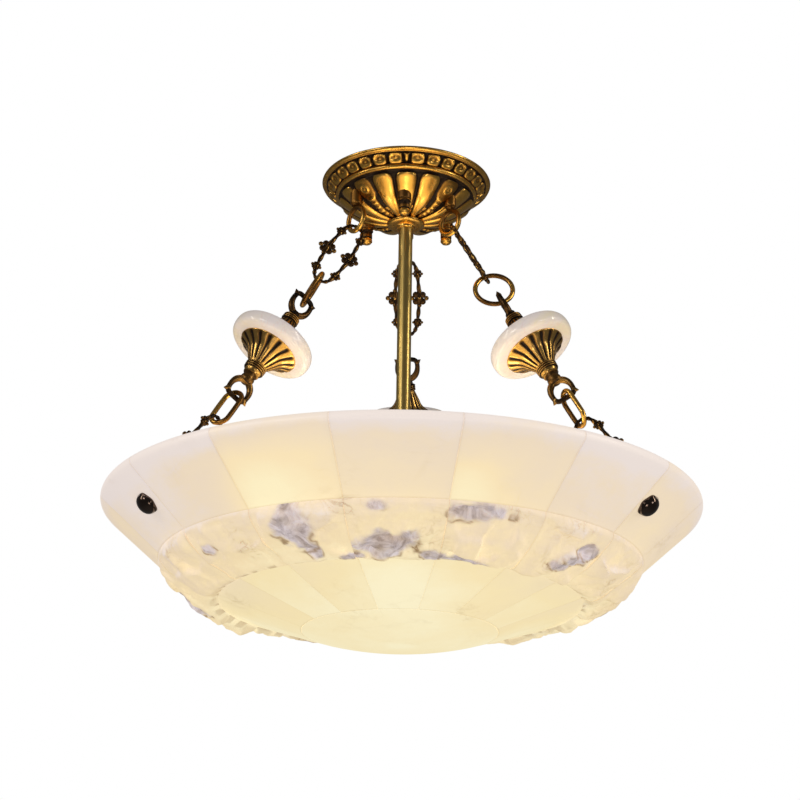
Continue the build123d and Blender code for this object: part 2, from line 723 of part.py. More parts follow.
with BuildPart() as eye_nuts:
    posts(eye_places, NUT_R, EYE_BOSS_TOP_Z + SEAT, EYE_BOSS_TOP_Z + SEAT + NUT_T)
    posts(eye_places, EYE_STEM_R + BORE_FIT, EYE_BOSS_TOP_Z, eye_top_z, Mode.SUBTRACT)
save(eye_nuts, "canopy_eye_nuts")

# Centre stem, its flanged collar under the canopy and its nut inside
lamp_z = -RIM_DROP - LAMP_DROP
hub_top_z = lamp_z + HUB_H / 2
hub_bottom_z = lamp_z - HUB_H / 2
centre_place = [(0, 0)]
collar_face = -DOME_DEPTH - SEAT
stem_nut_face = inner_end[1] + SEAT
stem_top_z = stem_nut_face + STEM_NUT_T + STEM_THREAD_SPARE
stem_bottom_z = hub_bottom_z - HUB_NUT_T / 2

with BuildPart() as stem_rod:
    posts(centre_place, STEM_R, stem_bottom_z, stem_top_z)
    posts(centre_place, STEM_BORE_R, stem_bottom_z, stem_top_z, Mode.SUBTRACT)
save(stem_rod, "stem_rod")

with BuildPart() as stem_collar:
    posts(centre_place, COLLAR_R, collar_face - COLLAR_T, collar_face)
    fillet(stem_collar.edges().group_by(Axis.Z)[0], COLLAR_T / 2)
    posts(centre_place, COLLAR_RING_R, collar_face - COLLAR_T - COLLAR_RING_T, collar_face)
    posts(centre_place, STEM_R + BORE_FIT, collar_face - COLLAR_T - COLLAR_RING_T, collar_face, Mode.SUBTRACT)
save(stem_collar, "stem_collar")

with BuildPart() as stem_nut:
    posts(centre_place, STEM_NUT_R, stem_nut_face, stem_nut_face + STEM_NUT_T)
    posts(centre_place, STEM_R + BORE_FIT, stem_nut_face, stem_nut_face + STEM_NUT_T, Mode.SUBTRACT)
save(stem_nut, "stem_nut")

with BuildPart() as terminal_block:
    with Locations((0, TERMINAL_Y, -PLATE_T - SEAT)):
        Box(TERMINAL_L, TERMINAL_W, TERMINAL_H, align=(Align.CENTER, Align.CENTER, Align.MAX))
    with BuildSketch(level(-PLATE_T - SEAT - TERMINAL_H)):
        with Locations((0, TERMINAL_Y)):
            with GridLocations(TERMINAL_L / TERMINAL_POLES, TERMINAL_W / 2, TERMINAL_POLES, 2):
                Circle(TERMINAL_SCREW_R)
    extrude(amount=TERMINAL_SCREW_H, mode=Mode.SUBTRACT)
save(terminal_block, "terminal_block")

# Lamp hub on the stem's lower end, with a nut under it
lamp_azimuths = [FIRST_LAMP_AZIMUTH + k * 360.0 / LAMPS for k in range(LAMPS)]
nipple_in_r = (STEM_R + HUB_R) / 2
nipple_end_r = HUB_R + NIPPLE_OUT
holder_start_r = HUB_R + SEAT + NIPPLE_SHOW
cap_start_r = holder_start_r + HOLDER_FLOOR + SEAT
holder_end_r = holder_start_r + HOLDER_L
globe_start_r = holder_end_r + GLOBE_GAP


# Plane across a lamp's line at a radius: local +Z points outward along the lamp
def lamp_plane(azimuth, radius):
    return Plane(origin=outward(azimuth) * radius + UP * lamp_z, x_dir=UP, z_dir=outward(azimuth))


# Round bar along a lamp's line
def lamp_bar(azimuth, radius, start, end, mode=Mode.ADD):
    with BuildSketch(lamp_plane(azimuth, start)) as end_face:
        Circle(radius)
    extrude(end_face.sketch, amount=end - start, mode=mode)


with BuildPart() as lamp_hub:
    posts(centre_place, HUB_R, hub_bottom_z, hub_top_z)
    chamfer(lamp_hub.edges(), HUB_CHAMFER)
    posts(centre_place, STEM_R + BORE_FIT, hub_bottom_z, hub_top_z, Mode.SUBTRACT)
    for azimuth in lamp_azimuths:
        lamp_bar(azimuth, NIPPLE_R + BORE_FIT, nipple_in_r, HUB_R, Mode.SUBTRACT)
save(lamp_hub, "lamp_hub")

with BuildPart() as hub_nut:
    posts(centre_place, HUB_NUT_R, hub_bottom_z - SEAT - HUB_NUT_T, hub_bottom_z - SEAT)
    fillet(hub_nut.edges().group_by(Axis.Z)[0], HUB_NUT_T / 2)
    posts(centre_place, STEM_R + BORE_FIT, stem_bottom_z - SEAT, hub_bottom_z, Mode.SUBTRACT)
save(hub_nut, "lamp_hub_nut")

with BuildPart() as holder_nipples:
    for azimuth in lamp_azimuths:
        lamp_bar(azimuth, NIPPLE_R, nipple_in_r + SEAT, nipple_end_r)
        lamp_bar(azimuth, NIPPLE_BORE_R, nipple_in_r, nipple_end_r, Mode.SUBTRACT)
save(holder_nipples, "holder_nipples")

with BuildPart() as lampholders:
    for azimuth in lamp_azimuths:
        lamp_bar(azimuth, HOLDER_R, holder_start_r, holder_end_r)
    chamfer(lampholders.edges().filter_by(GeomType.CIRCLE), HUB_CHAMFER)
    for azimuth in lamp_azimuths:
        lamp_bar(azimuth, NIPPLE_R + BORE_FIT, holder_start_r, nipple_end_r + SEAT, Mode.SUBTRACT)
        lamp_bar(azimuth, CAP_R + CAP_FIT, holder_start_r + HOLDER_FLOOR, holder_end_r, Mode.SUBTRACT)
save(lampholders, "lampholders")

# Bulbs: a metal screw cap in the holder and a glass globe on it
for number, azimuth in enumerate(lamp_azimuths, start=1):
    cap_end_r = cap_start_r + CAP_L
    with BuildPart() as bulb_cap:
        lamp_bar(azimuth, CAP_R, cap_start_r, cap_end_r)
        chamfer(bulb_cap.edges().filter_by(GeomType.CIRCLE), CAP_CHAMFER)
    save(bulb_cap, "bulb_%d_cap" % number)
    globe_centre = cap_end_r + GLOBE_NECK_L + GLOBE_R
    waist = (
        globe_centre - GLOBE_R * cos(radians(GLOBE_WAIST_ANGLE)),
        GLOBE_R * sin(radians(GLOBE_WAIST_ANGLE)),
    )
    line = lamp_plane(azimuth, 0)
    with BuildPart() as bulb_globe:
        with BuildSketch(Plane(origin=line.origin, x_dir=line.z_dir, z_dir=line.x_dir)):
            with BuildLine():
                Polyline((globe_centre + GLOBE_R, 0), (cap_end_r, 0), (cap_end_r, CAP_R - BORE_FIT),
                         (globe_start_r, CAP_R - BORE_FIT), waist)
                ThreePointArc(waist, (globe_centre, GLOBE_R), (globe_centre + GLOBE_R, 0))
            make_face()
        revolve(axis=Axis(line.origin, line.z_dir))
    save(bulb_globe, "bulb_%d_globe" % number)
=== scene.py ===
from math import asin, atan2, cos, hypot, pi, radians, sin

import bmesh
import bpy
import numpy as np
from mathutils import Matrix


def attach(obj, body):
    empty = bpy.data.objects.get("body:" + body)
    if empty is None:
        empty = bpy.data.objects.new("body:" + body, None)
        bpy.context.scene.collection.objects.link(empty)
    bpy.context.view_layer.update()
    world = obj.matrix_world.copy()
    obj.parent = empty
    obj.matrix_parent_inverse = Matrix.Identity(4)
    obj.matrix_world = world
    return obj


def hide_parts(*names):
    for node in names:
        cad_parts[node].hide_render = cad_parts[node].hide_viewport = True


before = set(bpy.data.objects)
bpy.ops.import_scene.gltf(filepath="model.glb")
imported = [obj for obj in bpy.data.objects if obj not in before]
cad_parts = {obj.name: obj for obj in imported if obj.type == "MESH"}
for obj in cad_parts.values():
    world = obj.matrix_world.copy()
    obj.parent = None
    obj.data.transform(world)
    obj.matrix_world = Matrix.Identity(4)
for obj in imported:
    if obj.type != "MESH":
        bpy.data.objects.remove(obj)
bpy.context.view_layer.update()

# Stone-mosaic bowl light on three link arms, dressed over its CAD frame.
# Lengths are worked out in millimetres, as in the part's source, and put into meshes in metres.
MM = 0.001
ARM_AZIMUTH = {"back": 88.0, "left": 208.0, "right": 328.0}
LAMP_AZIMUTH = (28.0, 148.0, 268.0)
UP = np.array([0.0, 0.0, 1.0])

# Bowl
RIM_DROP = 301.5
WALL = 10.0
STAVES = 16
SEAM_AZIMUTH = 280.1
BAND_CORNER = (200.0, -353.5)
LOWER_CORNER = (150.0, -385.0)
DISC_CORNER = (80.8, -407.8)
POLE_Z = -419.5
LIP_R = 5.0
LIP_CENTRE = (245.0, -306.5)
BOLT_DEPTH = 30.0
EYE_DEPTH = 26.0
PIVOT_DEPTH = 34.0
ROUGH_R = 178.0
BLOCK_GAP = 0.14

# Canopy and stem
CUP_PITCH = 12.2
PETALS = 16
FRONT = 270.0
STEM_R = 6.15
STEM_TOP_Z = -27.4
STEM_BOTTOM_Z = -358.5
COLLAR_Z = -38.55
CAP_NUT_R = 41.0
LAMP_Z = -342.5
LAMP_OUT = 95.6
GLOBE_R = 22.5

# Arms, as in the part's source
PIVOT_R = 50.0
PIVOT_Z = -57.3
EYE_AZIMUTH = {"back": 0.0, "left": 218.0, "right": 44.0}
EYE_RING_R = 10.8
UPPER_LINK_AT = 29.6
RING_AT = 75.2
UPPER_YOKE_AT = 95.6
UPPER_BELL_TOP = 109.25
UPPER_BELL_AT = 136.25
DISC_AT = 142.5
LOWER_BELL_AT = 148.75
LOWER_BELL_END = 173.75
GADROONS = 16
LINK_TURN = {"back": 90.0, "left": 20.0, "right": 73.0}
RING_TURN = {"back": 0.0, "left": 105.0, "right": -36.0}
UPPER_YOKE_TURN = {"back": 90.0, "left": -10.0, "right": 73.0}
LOWER_YOKE_TURN = {"back": -10.0, "left": -5.0, "right": -15.0}
OVAL_TURN = {"back": 50.0, "left": 55.0, "right": 45.0}
LOWER_LINK_TURN = {"back": -25.0, "left": -25.0, "right": -25.0}

random = np.random.default_rng(11)
LATTICE = random.random((24, 24, 24))


# ---- shapes ----


def outward(azimuth):
    """Level unit vector at an azimuth in degrees; an array of azimuths gives an array of vectors."""
    turn = np.radians(azimuth)
    return np.stack([np.cos(turn), np.sin(turn), np.zeros_like(turn)], axis=-1)


def smooth(low, high, value):
    """Step from 0 at low to 1 at high along the cubic 3t^2 - 2t^3."""
    t = np.clip((value - low) / (high - low), 0.0, 1.0)
    return t * t * (3.0 - 2.0 * t)


def turn_from(azimuth, place):
    """Signed angle from one azimuth to others, from -180 to 180 degrees."""
    return (azimuth - place + 180.0) % 360.0 - 180.0


def lumps(points, size):
    """Value noise from 0 to 1: a seeded lattice of cells of one size, blended smoothly between its corners."""
    cell = points / size
    low = np.floor(cell).astype(int)
    t = cell - low
    t = t * t * (3.0 - 2.0 * t)
    total = 0.0
    for corner in np.ndindex(2, 2, 2):
        weight = np.prod(np.where(np.array(corner) == 1, t, 1.0 - t), axis=-1)
        i, j, k = np.moveaxis((low + corner) % len(LATTICE), -1, 0)
        total = total + weight * LATTICE[i, j, k]
    return total


def rough_noise(points, size, octaves=4):
    """Sum of lattice noise at halving sizes and weights, from -1 to 1."""
    parts = [(lumps(points + 31.7 * k, size / 2**k) - 0.5) / 2**k for k in range(octaves)]
    return np.sum(parts, axis=0)


class Shell:
    """Closed surfaces given as grids of points in millimetres, gathered into one mesh with its marks."""

    def __init__(self):
        self.points, self.faces, self.marks, self.count = [], [], [], 0

    def grid(self, points, along=False, patina_and_shade=0.0, glow=0.0, tone=0.5, crust=0.0):
        """Join each point p[i, j] to its neighbours, the last column to the first, and with along also the last
        row to the first; open ends are closed to their middle. Faces are turned to enclose a positive volume."""
        marks = np.stack([np.broadcast_to(m, points.shape[:2]) for m in (patina_and_shade, glow, tone, crust)], axis=-1)
        if not along:
            points = np.concatenate([points[:1].mean(axis=1, keepdims=True).repeat(points.shape[1], axis=1),
                                     points,
                                     points[-1:].mean(axis=1, keepdims=True).repeat(points.shape[1], axis=1)])
            marks = np.concatenate([marks[:1], marks, marks[-1:]])
        rows, columns = points.shape[:2]
        i, j = np.meshgrid(np.arange(rows if along else rows - 1), np.arange(columns), indexing="ij")
        below, beside = (i + 1) % rows, (j + 1) % columns
        quads = np.stack([i * columns + j, i * columns + beside, below * columns + beside, below * columns + j],
                         axis=-1).reshape(-1, 4)
        flat = points.reshape(-1, 3)
        middle = flat - flat.mean(axis=0)
        a, b, c, d = (middle[quads[:, k]] for k in range(4))
        volume = np.einsum("ij,ij->", a, np.cross(b, c)) + np.einsum("ij,ij->", a, np.cross(c, d))
        self.faces.append((quads if volume > 0 else quads[:, ::-1]) + self.count)
        self.points.append(flat)
        self.marks.append(marks.reshape(-1, 4))
        self.count += len(flat)
        return self

    def piece(self, name, body, finish, slot, *nodes, sharp=40.0):
        """One object of all the grids, with its doubled points merged, riding on a body in place of CAD nodes."""
        mesh = bpy.data.meshes.new(name)
        mesh.from_pydata((np.concatenate(self.points) * MM).tolist(), [], np.concatenate(self.faces).tolist())
        for k, mark in enumerate(("patina_and_shade", "glow", "tone", "crust")):
            layer = mesh.attributes.new(mark, "FLOAT", "POINT")
            layer.data.foreach_set("value", np.concatenate(self.marks)[:, k].astype(np.float32))
        work = bmesh.new()
        work.from_mesh(mesh)
        bmesh.ops.remove_doubles(work, verts=work.verts, dist=1e-6)
        work.to_mesh(mesh)
        work.free()
        mesh.polygons.foreach_set("use_smooth", [True] * len(mesh.polygons))
        mesh.set_sharp_from_angle(angle=radians(sharp))
        mesh.materials.append(finish)
        made = bpy.data.objects.new(name, mesh)
        bpy.context.scene.collection.objects.link(made)
        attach(made, body)
        if nodes:
            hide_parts(*nodes)
        return made


def spread(profile, step=1.0):
    """Points along a profile's straight runs, about one step apart, keeping its corners."""
    profile = np.asarray(profile, float)
    runs = zip(profile[:-1], profile[1:])
    parts = [np.linspace(a, b, max(1, round(np.linalg.norm(b - a) / step)), endpoint=False) for a, b in runs]
    return np.concatenate(parts + [profile[-1:]])


def eased_line(points, cuts=3, closed=False):
    """Corner cutting: each run is replaced by its points at a quarter and three quarters, a few times over."""
    points = np.asarray(points, float)
    for _ in range(cuts):
        following = np.roll(points, -1, axis=0) if closed else points[1:]
        base = points if closed else points[:-1]
        cut = np.stack([0.75 * base + 0.25 * following, 0.25 * base + 0.75 * following], axis=1)
        cut = cut.reshape(-1, points.shape[1])
        points = cut if closed else np.concatenate([points[:1], cut, points[-1:]])
    return points


def turning(origin, axis, side, profile, columns=48, ripple=None):
    """Surface of revolution: point(a, t) = origin + axis * x(a) + (side * cos t + across * sin t) * r(a, t),
    for a profile of (x, r) pairs, with ripple(x, r, t) giving what is added to the radius."""
    profile = np.asarray(profile, float)
    across = np.cross(axis, side)
    t = np.linspace(0.0, 2.0 * pi, columns, endpoint=False)[None, :]
    x, r = profile[:, :1], profile[:, 1:]
    if ripple is not None:
        r = r + ripple(x, r, t)
    ring = np.cos(t)[..., None] * side + np.sin(t)[..., None] * across
    return origin + x[..., None] * axis + r[..., None] * ring


def upright(x, y, profile, columns=48, ripple=None):
    """Surface of revolution about a vertical line through (x, y), from a profile of (height, radius) pairs."""
    return turning(np.array([x, y, 0.0]), UP, np.array([1.0, 0.0, 0.0]), profile, columns, ripple)


def wire(path, normal, radius, columns=14, closed=True, flat=1.0):
    """Round bar along a flat path: point(s, t) = path(s) + (out(s) * cos t + normal * flat * sin t) * radius(s),
    where out is the path's direction turned a quarter round the flat's normal."""
    ahead = np.roll(path, -1, axis=0) - np.roll(path, 1, axis=0)
    if not closed:
        ahead[0], ahead[-1] = path[1] - path[0], path[-1] - path[-2]
    out = np.cross(ahead, normal)
    out /= np.linalg.norm(out, axis=1, keepdims=True)
    t = np.linspace(0.0, 2.0 * pi, columns, endpoint=False)[None, :, None]
    radius = np.broadcast_to(radius, len(path))[:, None, None]
    return path[:, None, :] + radius * (np.cos(t) * out[:, None, :] + flat * np.sin(t) * normal)


def ball(centre, radii, axes, rows=8, columns=12):
    """Ellipsoid: point(a, t) = centre + axes * radii * (cos a, sin a cos t, sin a sin t)."""
    a = np.linspace(0.02, pi - 0.02, rows)[:, None, None]
    t = np.linspace(0.0, 2.0 * pi, columns, endpoint=False)[None, :, None]
    first, second, third = axes
    return (centre + radii[0] * np.cos(a) * first
            + radii[1] * np.sin(a) * np.cos(t) * second + radii[2] * np.sin(a) * np.sin(t) * third)


# ---- finishes ----


class Socket:
    """An output of a material's node: arithmetic on it adds Math nodes, and node() adds any other node."""

    def __init__(self, tree, link):
        self.tree, self.link = tree, link

    def node(self, kind, inputs, output=0, stops=None, **settings):
        """One node of a type, with its settings and ramp stops made first and then its sockets, by name or place."""
        made = self.tree.nodes.new("ShaderNode" + kind)
        for name, value in settings.items():
            setattr(made, name, value)
        if stops:
            while len(made.color_ramp.elements) < len(stops):
                made.color_ramp.elements.new(1.0)
            for element, (place, colour) in zip(made.color_ramp.elements, stops):
                element.position, element.color = place, (*colour, 1.0)
        for name, value in inputs.items():
            if isinstance(value, Socket):
                self.tree.links.new(value.link, made.inputs[name])
            else:
                made.inputs[name].default_value = value
        return Socket(self.tree, made.outputs[output])

    def math(self, operation, *others):
        return self.node("Math", dict(enumerate((self, *others))), operation=operation)

    def __add__(self, other):
        return self.math("ADD", other)

    __radd__ = __add__

    def __mul__(self, other):
        return self.math("MULTIPLY", other)

    __rmul__ = __mul__

    def __sub__(self, other):
        return self.math("SUBTRACT", other)

    def __rsub__(self, other):
        return self.node("Math", {0: other, 1: self}, operation="SUBTRACT")

    def __pow__(self, other):
        return self.math("POWER", other)

    def clamped(self):
        return self.node("Clamp", {"Value": self})

    def noise(self, scale, detail=3.0, roughness=0.5, distortion=0.0):
        """Noise from 0 to 1 at these coordinates, in waves of about 1/scale metres."""
        return self.node("TexNoise", {"Vector": self, "Scale": scale, "Detail": detail, "Roughness": roughness,
                                      "Distortion": distortion})

    def ramp(self, *stops):
        """Colour along stops of (place, colour)."""
        return self.node("ValToRGB", {"Fac": self}, stops=stops)

    def mix(self, first, second):
        """Colour between two others by this factor."""
        return self.node("Mix", {0: self, 6: first if isinstance(first, Socket) else (*first, 1.0),
                                 7: second if isinstance(second, Socket) else (*second, 1.0)},
                         output=2, data_type="RGBA")


def finish(name, build):
    """Material whose build(coordinates, mark) gives the shader's sockets; Height, with Distance, goes in a Bump."""
    material = bpy.data.materials.new(name)
    material.use_nodes = True
    tree = material.node_tree
    shader = tree.nodes["Principled BSDF"]
    start = Socket(tree, None)
    coordinates = start.node("TexCoord", {}, output=3)

    def mark(name):
        return start.node("Attribute", {}, output=2, attribute_name=name)

    sockets = build(coordinates, mark)
    height, distance = sockets.pop("Height", None), sockets.pop("Distance", 0.0003)
    if height is not None:
        sockets["Normal"] = start.node("Bump", {"Height": height, "Distance": distance, "Strength": 0.6})
    for name, value in sockets.items():
        if isinstance(value, Socket):
            tree.links.new(value.link, shader.inputs[name])
        else:
            shader.inputs[name].default_value = (*value, 1.0) if isinstance(value, tuple) else value
    return material


def antique_brass(name, light, deep, black, wear=0.0, rough=0.27, grain=0.00008, coat=0.0):
    """Old brass: bright on what stands proud, brown and then black in recesses, by the patina mark and cloudy
    noise; wear adds an even brown over the whole, and coat a clear lacquer."""

    def build(at, mark):
        cloud = at.noise(38.0, 3.0, 0.5)
        fine = at.noise(420.0, 2.0, 0.5)
        depth = (mark("patina_and_shade") * 1.2 + cloud * 0.3 + fine * 0.06 + (wear - 0.24)).clamped()
        return {
            "Base Color": depth.ramp((0.0, light), (0.32, deep), (0.75, black)),
            "Metallic": 1.0 - (depth ** 3.0) * 0.35,
            "Roughness": depth * 0.3 + fine * 0.06 + (rough - 0.05),
            "Coat Weight": coat,
            "Coat Roughness": 0.12,
            "Height": fine * 0.15 + cloud,
            "Distance": grain,
        }

    return finish(name, build)


def satin_rod(name, light, deep):
    """Drawn brass tube: fine level scratches and soft cloudy toning along the height."""

    def build(at, mark):
        drawn = at.node("Mapping", {"Vector": at, "Scale": (1.0, 1.0, 0.02)}).noise(900.0, 2.0)
        cloud = at.noise(30.0, 3.0)
        return {
            "Base Color": (cloud * 0.7 + drawn * 0.5 - 0.25).clamped().mix(light, deep),
            "Metallic": 1.0,
            "Roughness": drawn * 0.16 + 0.24,
            "Height": drawn,
            "Distance": 0.00002,
        }

    return finish(name, build)


def lit_stone(name, colours, strength, rough=0.32, grain=0.00015, mottle=0.12):
    """Alabaster lit from behind. The glow mark takes it through four colours, from unlit to hot; cloudy noise and
    each block's tone mottle it, with level laminations and thin warped veins. The crust mark leaves grey rind. Brown
    comes from the mark that the brass uses for its patina: real stains at the joints and rind edges, and on the split
    blocks a painted shade under the ledges and along the lower edge."""

    def build(at, mark):
        cloud = at.noise(13.0, 5.0, 0.55, 0.6)
        small = at.noise(70.0, 4.0, 0.6, 0.3)
        fine = at.noise(240.0, 4.0, 0.65)
        layer = at.node("Mapping", {"Vector": at, "Scale": (1.0, 1.0, 5.0)}).noise(16.0, 4.0, 0.6, 0.8)
        vein = 1.0 - ((at.noise(9.0, 4.0, 0.6, 2.2) - 0.5).math("ABSOLUTE") * 30.0).clamped()
        crack = 1.0 - ((layer - 0.43).math("ABSOLUTE") * 60.0).clamped()
        patch = (at.noise(21.0, 2.0) * 5.0 - 2.7).clamped()
        scratch = 1.0 - ((at.noise(48.0, 4.0, 0.6, 1.5) - 0.5).math("ABSOLUTE") * 34.0).clamped()
        # Brown: real stains of cracks, veins, scratches and joints, with the painted shade that the split blocks
        # carry in their mark.
        stain_and_shade = (mark("patina_and_shade") * (small * 1.1 + 0.4) + crack * patch * 0.16 + vein * patch * 0.1
                 + scratch * patch * ((mottle - 0.12) * 2.0)).clamped()
        crust = (mark("crust") * (small * 0.9 + 0.55)).clamped()
        lit = (mark("glow") + (cloud - 0.5) * 0.42 + (mark("tone") - 0.5) * 0.46 + (small + fine - 1.0) * mottle
               + (layer - 0.5) * 0.24).clamped()
        colour = lit.ramp(*zip((0.0, 0.22, 0.6, 1.0), colours))
        streak = at.noise(64.0, 5.0, 0.65, 1.2)
        brown = (at.noise(34.0, 3.0, 0.6, 0.8) * 4.0 - 1.75).clamped() * 0.6
        rind = brown.mix((streak * 3.0 - 0.95).clamped().mix((0.26, 0.215, 0.225), (0.68, 0.61, 0.65)),
                         (streak * 3.0 - 1.0).clamped().mix((0.24, 0.15, 0.09), (0.62, 0.47, 0.33)))
        return {
            "Base Color": stain_and_shade.mix(crust.mix((0.6, 0.54, 0.45), rind), (0.3, 0.19, 0.1)),
            "Emission Color": stain_and_shade.mix((crust * 0.92).mix(colour, rind), (0.28, 0.17, 0.08)),
            "Emission Strength": strength,
            "Roughness": small * 0.2 + crust * 0.3 + rough,
            "Height": small + fine * 0.5 + crack * patch * -0.3 + cloud,
            "Distance": grain,
        }

    return finish(name, build)


def knob_stone(name):
    """Polished disc stone: pinkish white with soft lilac and cream clouds and a few thin grey veins, and a painted
    glow: it emits its own colour evenly, though it is no lamp.
    """

    def build(at, mark):
        cloud = at.noise(24.0, 4.0, 0.6, 0.8)
        small = at.noise(140.0, 3.0)
        vein = 1.0 - ((at.noise(20.0, 3.0, 0.6, 2.5) - 0.5).math("ABSOLUTE") * 40.0).clamped()
        base = cloud.ramp((0.3, (0.88, 0.77, 0.58)), (0.5, (0.86, 0.77, 0.71)), (0.72, (0.79, 0.73, 0.76)))
        return {
            "Base Color": (vein * 0.35).mix(base, (0.62, 0.55, 0.5)),
            # Painted glow: the disc emits light though it is no lamp.
            "Emission Color": base,
            "Emission Strength": 0.32,
            "Roughness": small * 0.12 + 0.16,
            "Coat Weight": 0.4,
            "Height": small,
            "Distance": 0.00005,
        }

    return finish(name, build)


def plain(name, colour, other, metallic, rough, scale=180.0, emission=0.0):
    """Even material with a slight clouding between two colours and a fine bump."""

    def build(at, mark):
        cloud = at.noise(scale, 4.0, 0.6)
        return {
            "Base Color": cloud.mix(colour, other),
            "Metallic": metallic,
            "Roughness": cloud * 0.15 + rough,
            "Emission Color": cloud.mix(colour, other),
            "Emission Strength": emission,
            "Height": cloud,
            "Distance": 0.00008,
        }

    return finish(name, build)


canopy_brass = antique_brass("canopy_brass", (0.92, 0.52, 0.11), (0.33, 0.155, 0.034), (0.03, 0.016, 0.009))
bell_brass = antique_brass("bell_brass", (0.82, 0.49, 0.14), (0.23, 0.118, 0.034), (0.018, 0.011, 0.008), 0.04)
dark_brass = antique_brass("dark_brass", (0.62, 0.36, 0.1), (0.12, 0.062, 0.022), (0.018, 0.012, 0.009), 0.15)
bronze = antique_brass("bronze", (0.1, 0.05, 0.024), (0.026, 0.012, 0.007), (0.008, 0.005, 0.004),
                       wear=0.12, rough=0.1, grain=0.00001, coat=1.0)
rod_brass = satin_rod("rod_brass", (0.8, 0.58, 0.19), (0.5, 0.34, 0.1))
band_stone = lit_stone("band_stone", ((0.8, 0.71, 0.69), (0.83, 0.68, 0.51), (0.96, 0.77, 0.45), (1.0, 0.88, 0.54)),
                       0.8)
rough_stone = lit_stone("rough_stone",
                        ((0.78, 0.68, 0.63), (0.78, 0.62, 0.44), (0.93, 0.74, 0.43), (1.0, 0.87, 0.54)),
                        0.8, 0.5, 0.0011, 0.36)
lower_stone = lit_stone("lower_stone",
                        ((0.84, 0.71, 0.54), (0.88, 0.73, 0.47), (0.95, 0.79, 0.44), (1.0, 0.91, 0.6)), 0.83)
disc_stone = knob_stone("disc_stone")
zinc = plain("zinc", (0.55, 0.56, 0.58), (0.42, 0.43, 0.45), 1.0, 0.35)
terminal_white = plain("terminal_white", (0.85, 0.84, 0.8), (0.78, 0.77, 0.73), 0.0, 0.45)
glazed = plain("glazed", (0.86, 0.84, 0.79), (0.8, 0.77, 0.71), 0.0, 0.12)
cap_metal = plain("cap_metal", (0.74, 0.74, 0.75), (0.58, 0.58, 0.6), 1.0, 0.28)
frosted = plain("frosted", (1.0, 0.86, 0.62), (1.0, 0.9, 0.7), 0.0, 0.35, 60.0, 6.0)


def dress(node, material):
    """Give a carried-over CAD node one finish."""
    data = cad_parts[node].data
    data.materials.clear()
    data.materials.append(material)


CAD_FINISH = {"mounting_plate": zinc, "plate_studs": zinc, "canopy_eye_nuts": zinc, "stem_nut": zinc,
              "terminal_block": terminal_white, "holder_nipples": rod_brass}
for node, material in CAD_FINISH.items():
    dress(node, material)


# ---- canopy and stem ----


def along(profile):
    """Distance of each point of a profile from its start, along the profile."""
    runs = np.linalg.norm(np.diff(profile, axis=0), axis=1)
    return np.concatenate([[0.0], np.cumsum(runs)])


def facing(profile):
    """Unit normals of a closed profile of (radius, height), to the left of its direction."""
    ahead = np.roll(profile, -1, axis=0) - np.roll(profile, 1, axis=0)
    normal = np.stack([-ahead[:, 1], ahead[:, 0]], axis=1)
    return normal / np.linalg.norm(normal, axis=1, keepdims=True)


def from_step(azimuth, count, offset=0.0):
    """Signed angle from the nearest of count equal places round the circle, the first at the front plus offset."""
    step = 360.0 / count
    return (azimuth - FRONT - offset + step / 2.0) % step - step / 2.0


def cup_band(azimuth, radius, v, length):
    """Relief of the cornice: a square-shouldered cup at each place, q = (x/6.3)^4 + (y/5.3)^4, dished with a
    boss in the middle, seven to a quarter, and a drop between quarters; gives the height and how deep it lies."""
    place = from_step(azimuth, 4, 45.0)
    x = np.radians(place - CUP_PITCH * np.clip(np.round(place / CUP_PITCH), -3, 3)) * radius
    y = (v - 0.52) * length
    pad = 1.0 - smooth(0.45, 1.1, (np.abs(x) / 6.3) ** 4 + (np.abs(y) / 5.3) ** 4)
    dish = np.exp(-((x / 3.6) ** 2 + ((y + 0.8) / 2.7) ** 2) ** 2) - 0.8 * np.exp(-(x**2 + (y + 0.7) ** 2) / 1.8)
    side = np.abs(np.radians(from_step(azimuth, 4)) * radius)
    bead = smooth(0.0, 0.6, 1.0 - side / (0.6 + 3.4 * (1.0 - v))) * smooth(0.05, 0.2, v) * smooth(0.98, 0.85, v)
    raised = np.maximum(pad, bead)
    return -1.7 + 2.6 * raised - 1.3 * dish * pad, 1.0 - raised + 0.42 * dish * pad


def petal_dome(azimuth, radius, s, length):
    """Relief of the dome: petals with round tops, crown = sqrt(1 - (x/half)^2), half going as the top's arch,
    with deep grooves between them; every fourth petal is pinched and carries a curl and a row of beads."""
    place = from_step(azimuth, PETALS)
    x = np.radians(place) * radius
    quarter = np.abs(from_step(azimuth, 4, 45.0)) < 180.0 / PETALS
    arch = np.sqrt(np.clip(1.0 - (np.clip(0.17 - s, 0.0, 0.17) / 0.17) ** 2, 0.0, 1.0))
    pinch = np.where(quarter, 1.0 - 0.42 * smooth(0.3, 0.42, s) + 0.15 * smooth(0.6, 0.8, s), 1.0)
    half = np.radians(180.0 / PETALS) * radius * 0.9 * arch * pinch + 0.01
    crown = np.sqrt(np.clip(1.0 - (x / half) ** 2, 0.0, 1.0)) * smooth(0.015, 0.05, s)
    y = (s - 0.2) * length
    ring = np.hypot(x, y)
    curl = np.exp(-(((ring - 3.4) / 0.9) ** 2)) + np.exp(-((ring / 1.2) ** 2))
    beads = np.cos(pi * y / 5.5) ** 2 * smooth(0.33, 0.4, s) * smooth(0.8, 0.7, s)
    carved = np.where(quarter, 0.9 * curl * crown - 0.7 + 0.8 * beads * crown, 0.0)
    height = -2.6 + 2.6 * crown**0.75 + carved * smooth(0.0, 0.3, crown)
    depth = 1.0 - smooth(0.1, 0.6, crown) + np.where(quarter, 0.26 - 0.3 * np.maximum(curl, beads), 0.0)
    return height, np.clip(depth, 0.0, 1.2)


def arm_direction(name):
    """Unit vector down an arm, from its upper pivot to the wire of its eye in the bowl."""
    side = outward(ARM_AZIMUTH[name])
    return side * ARM_OUT - UP * ARM_DOWN


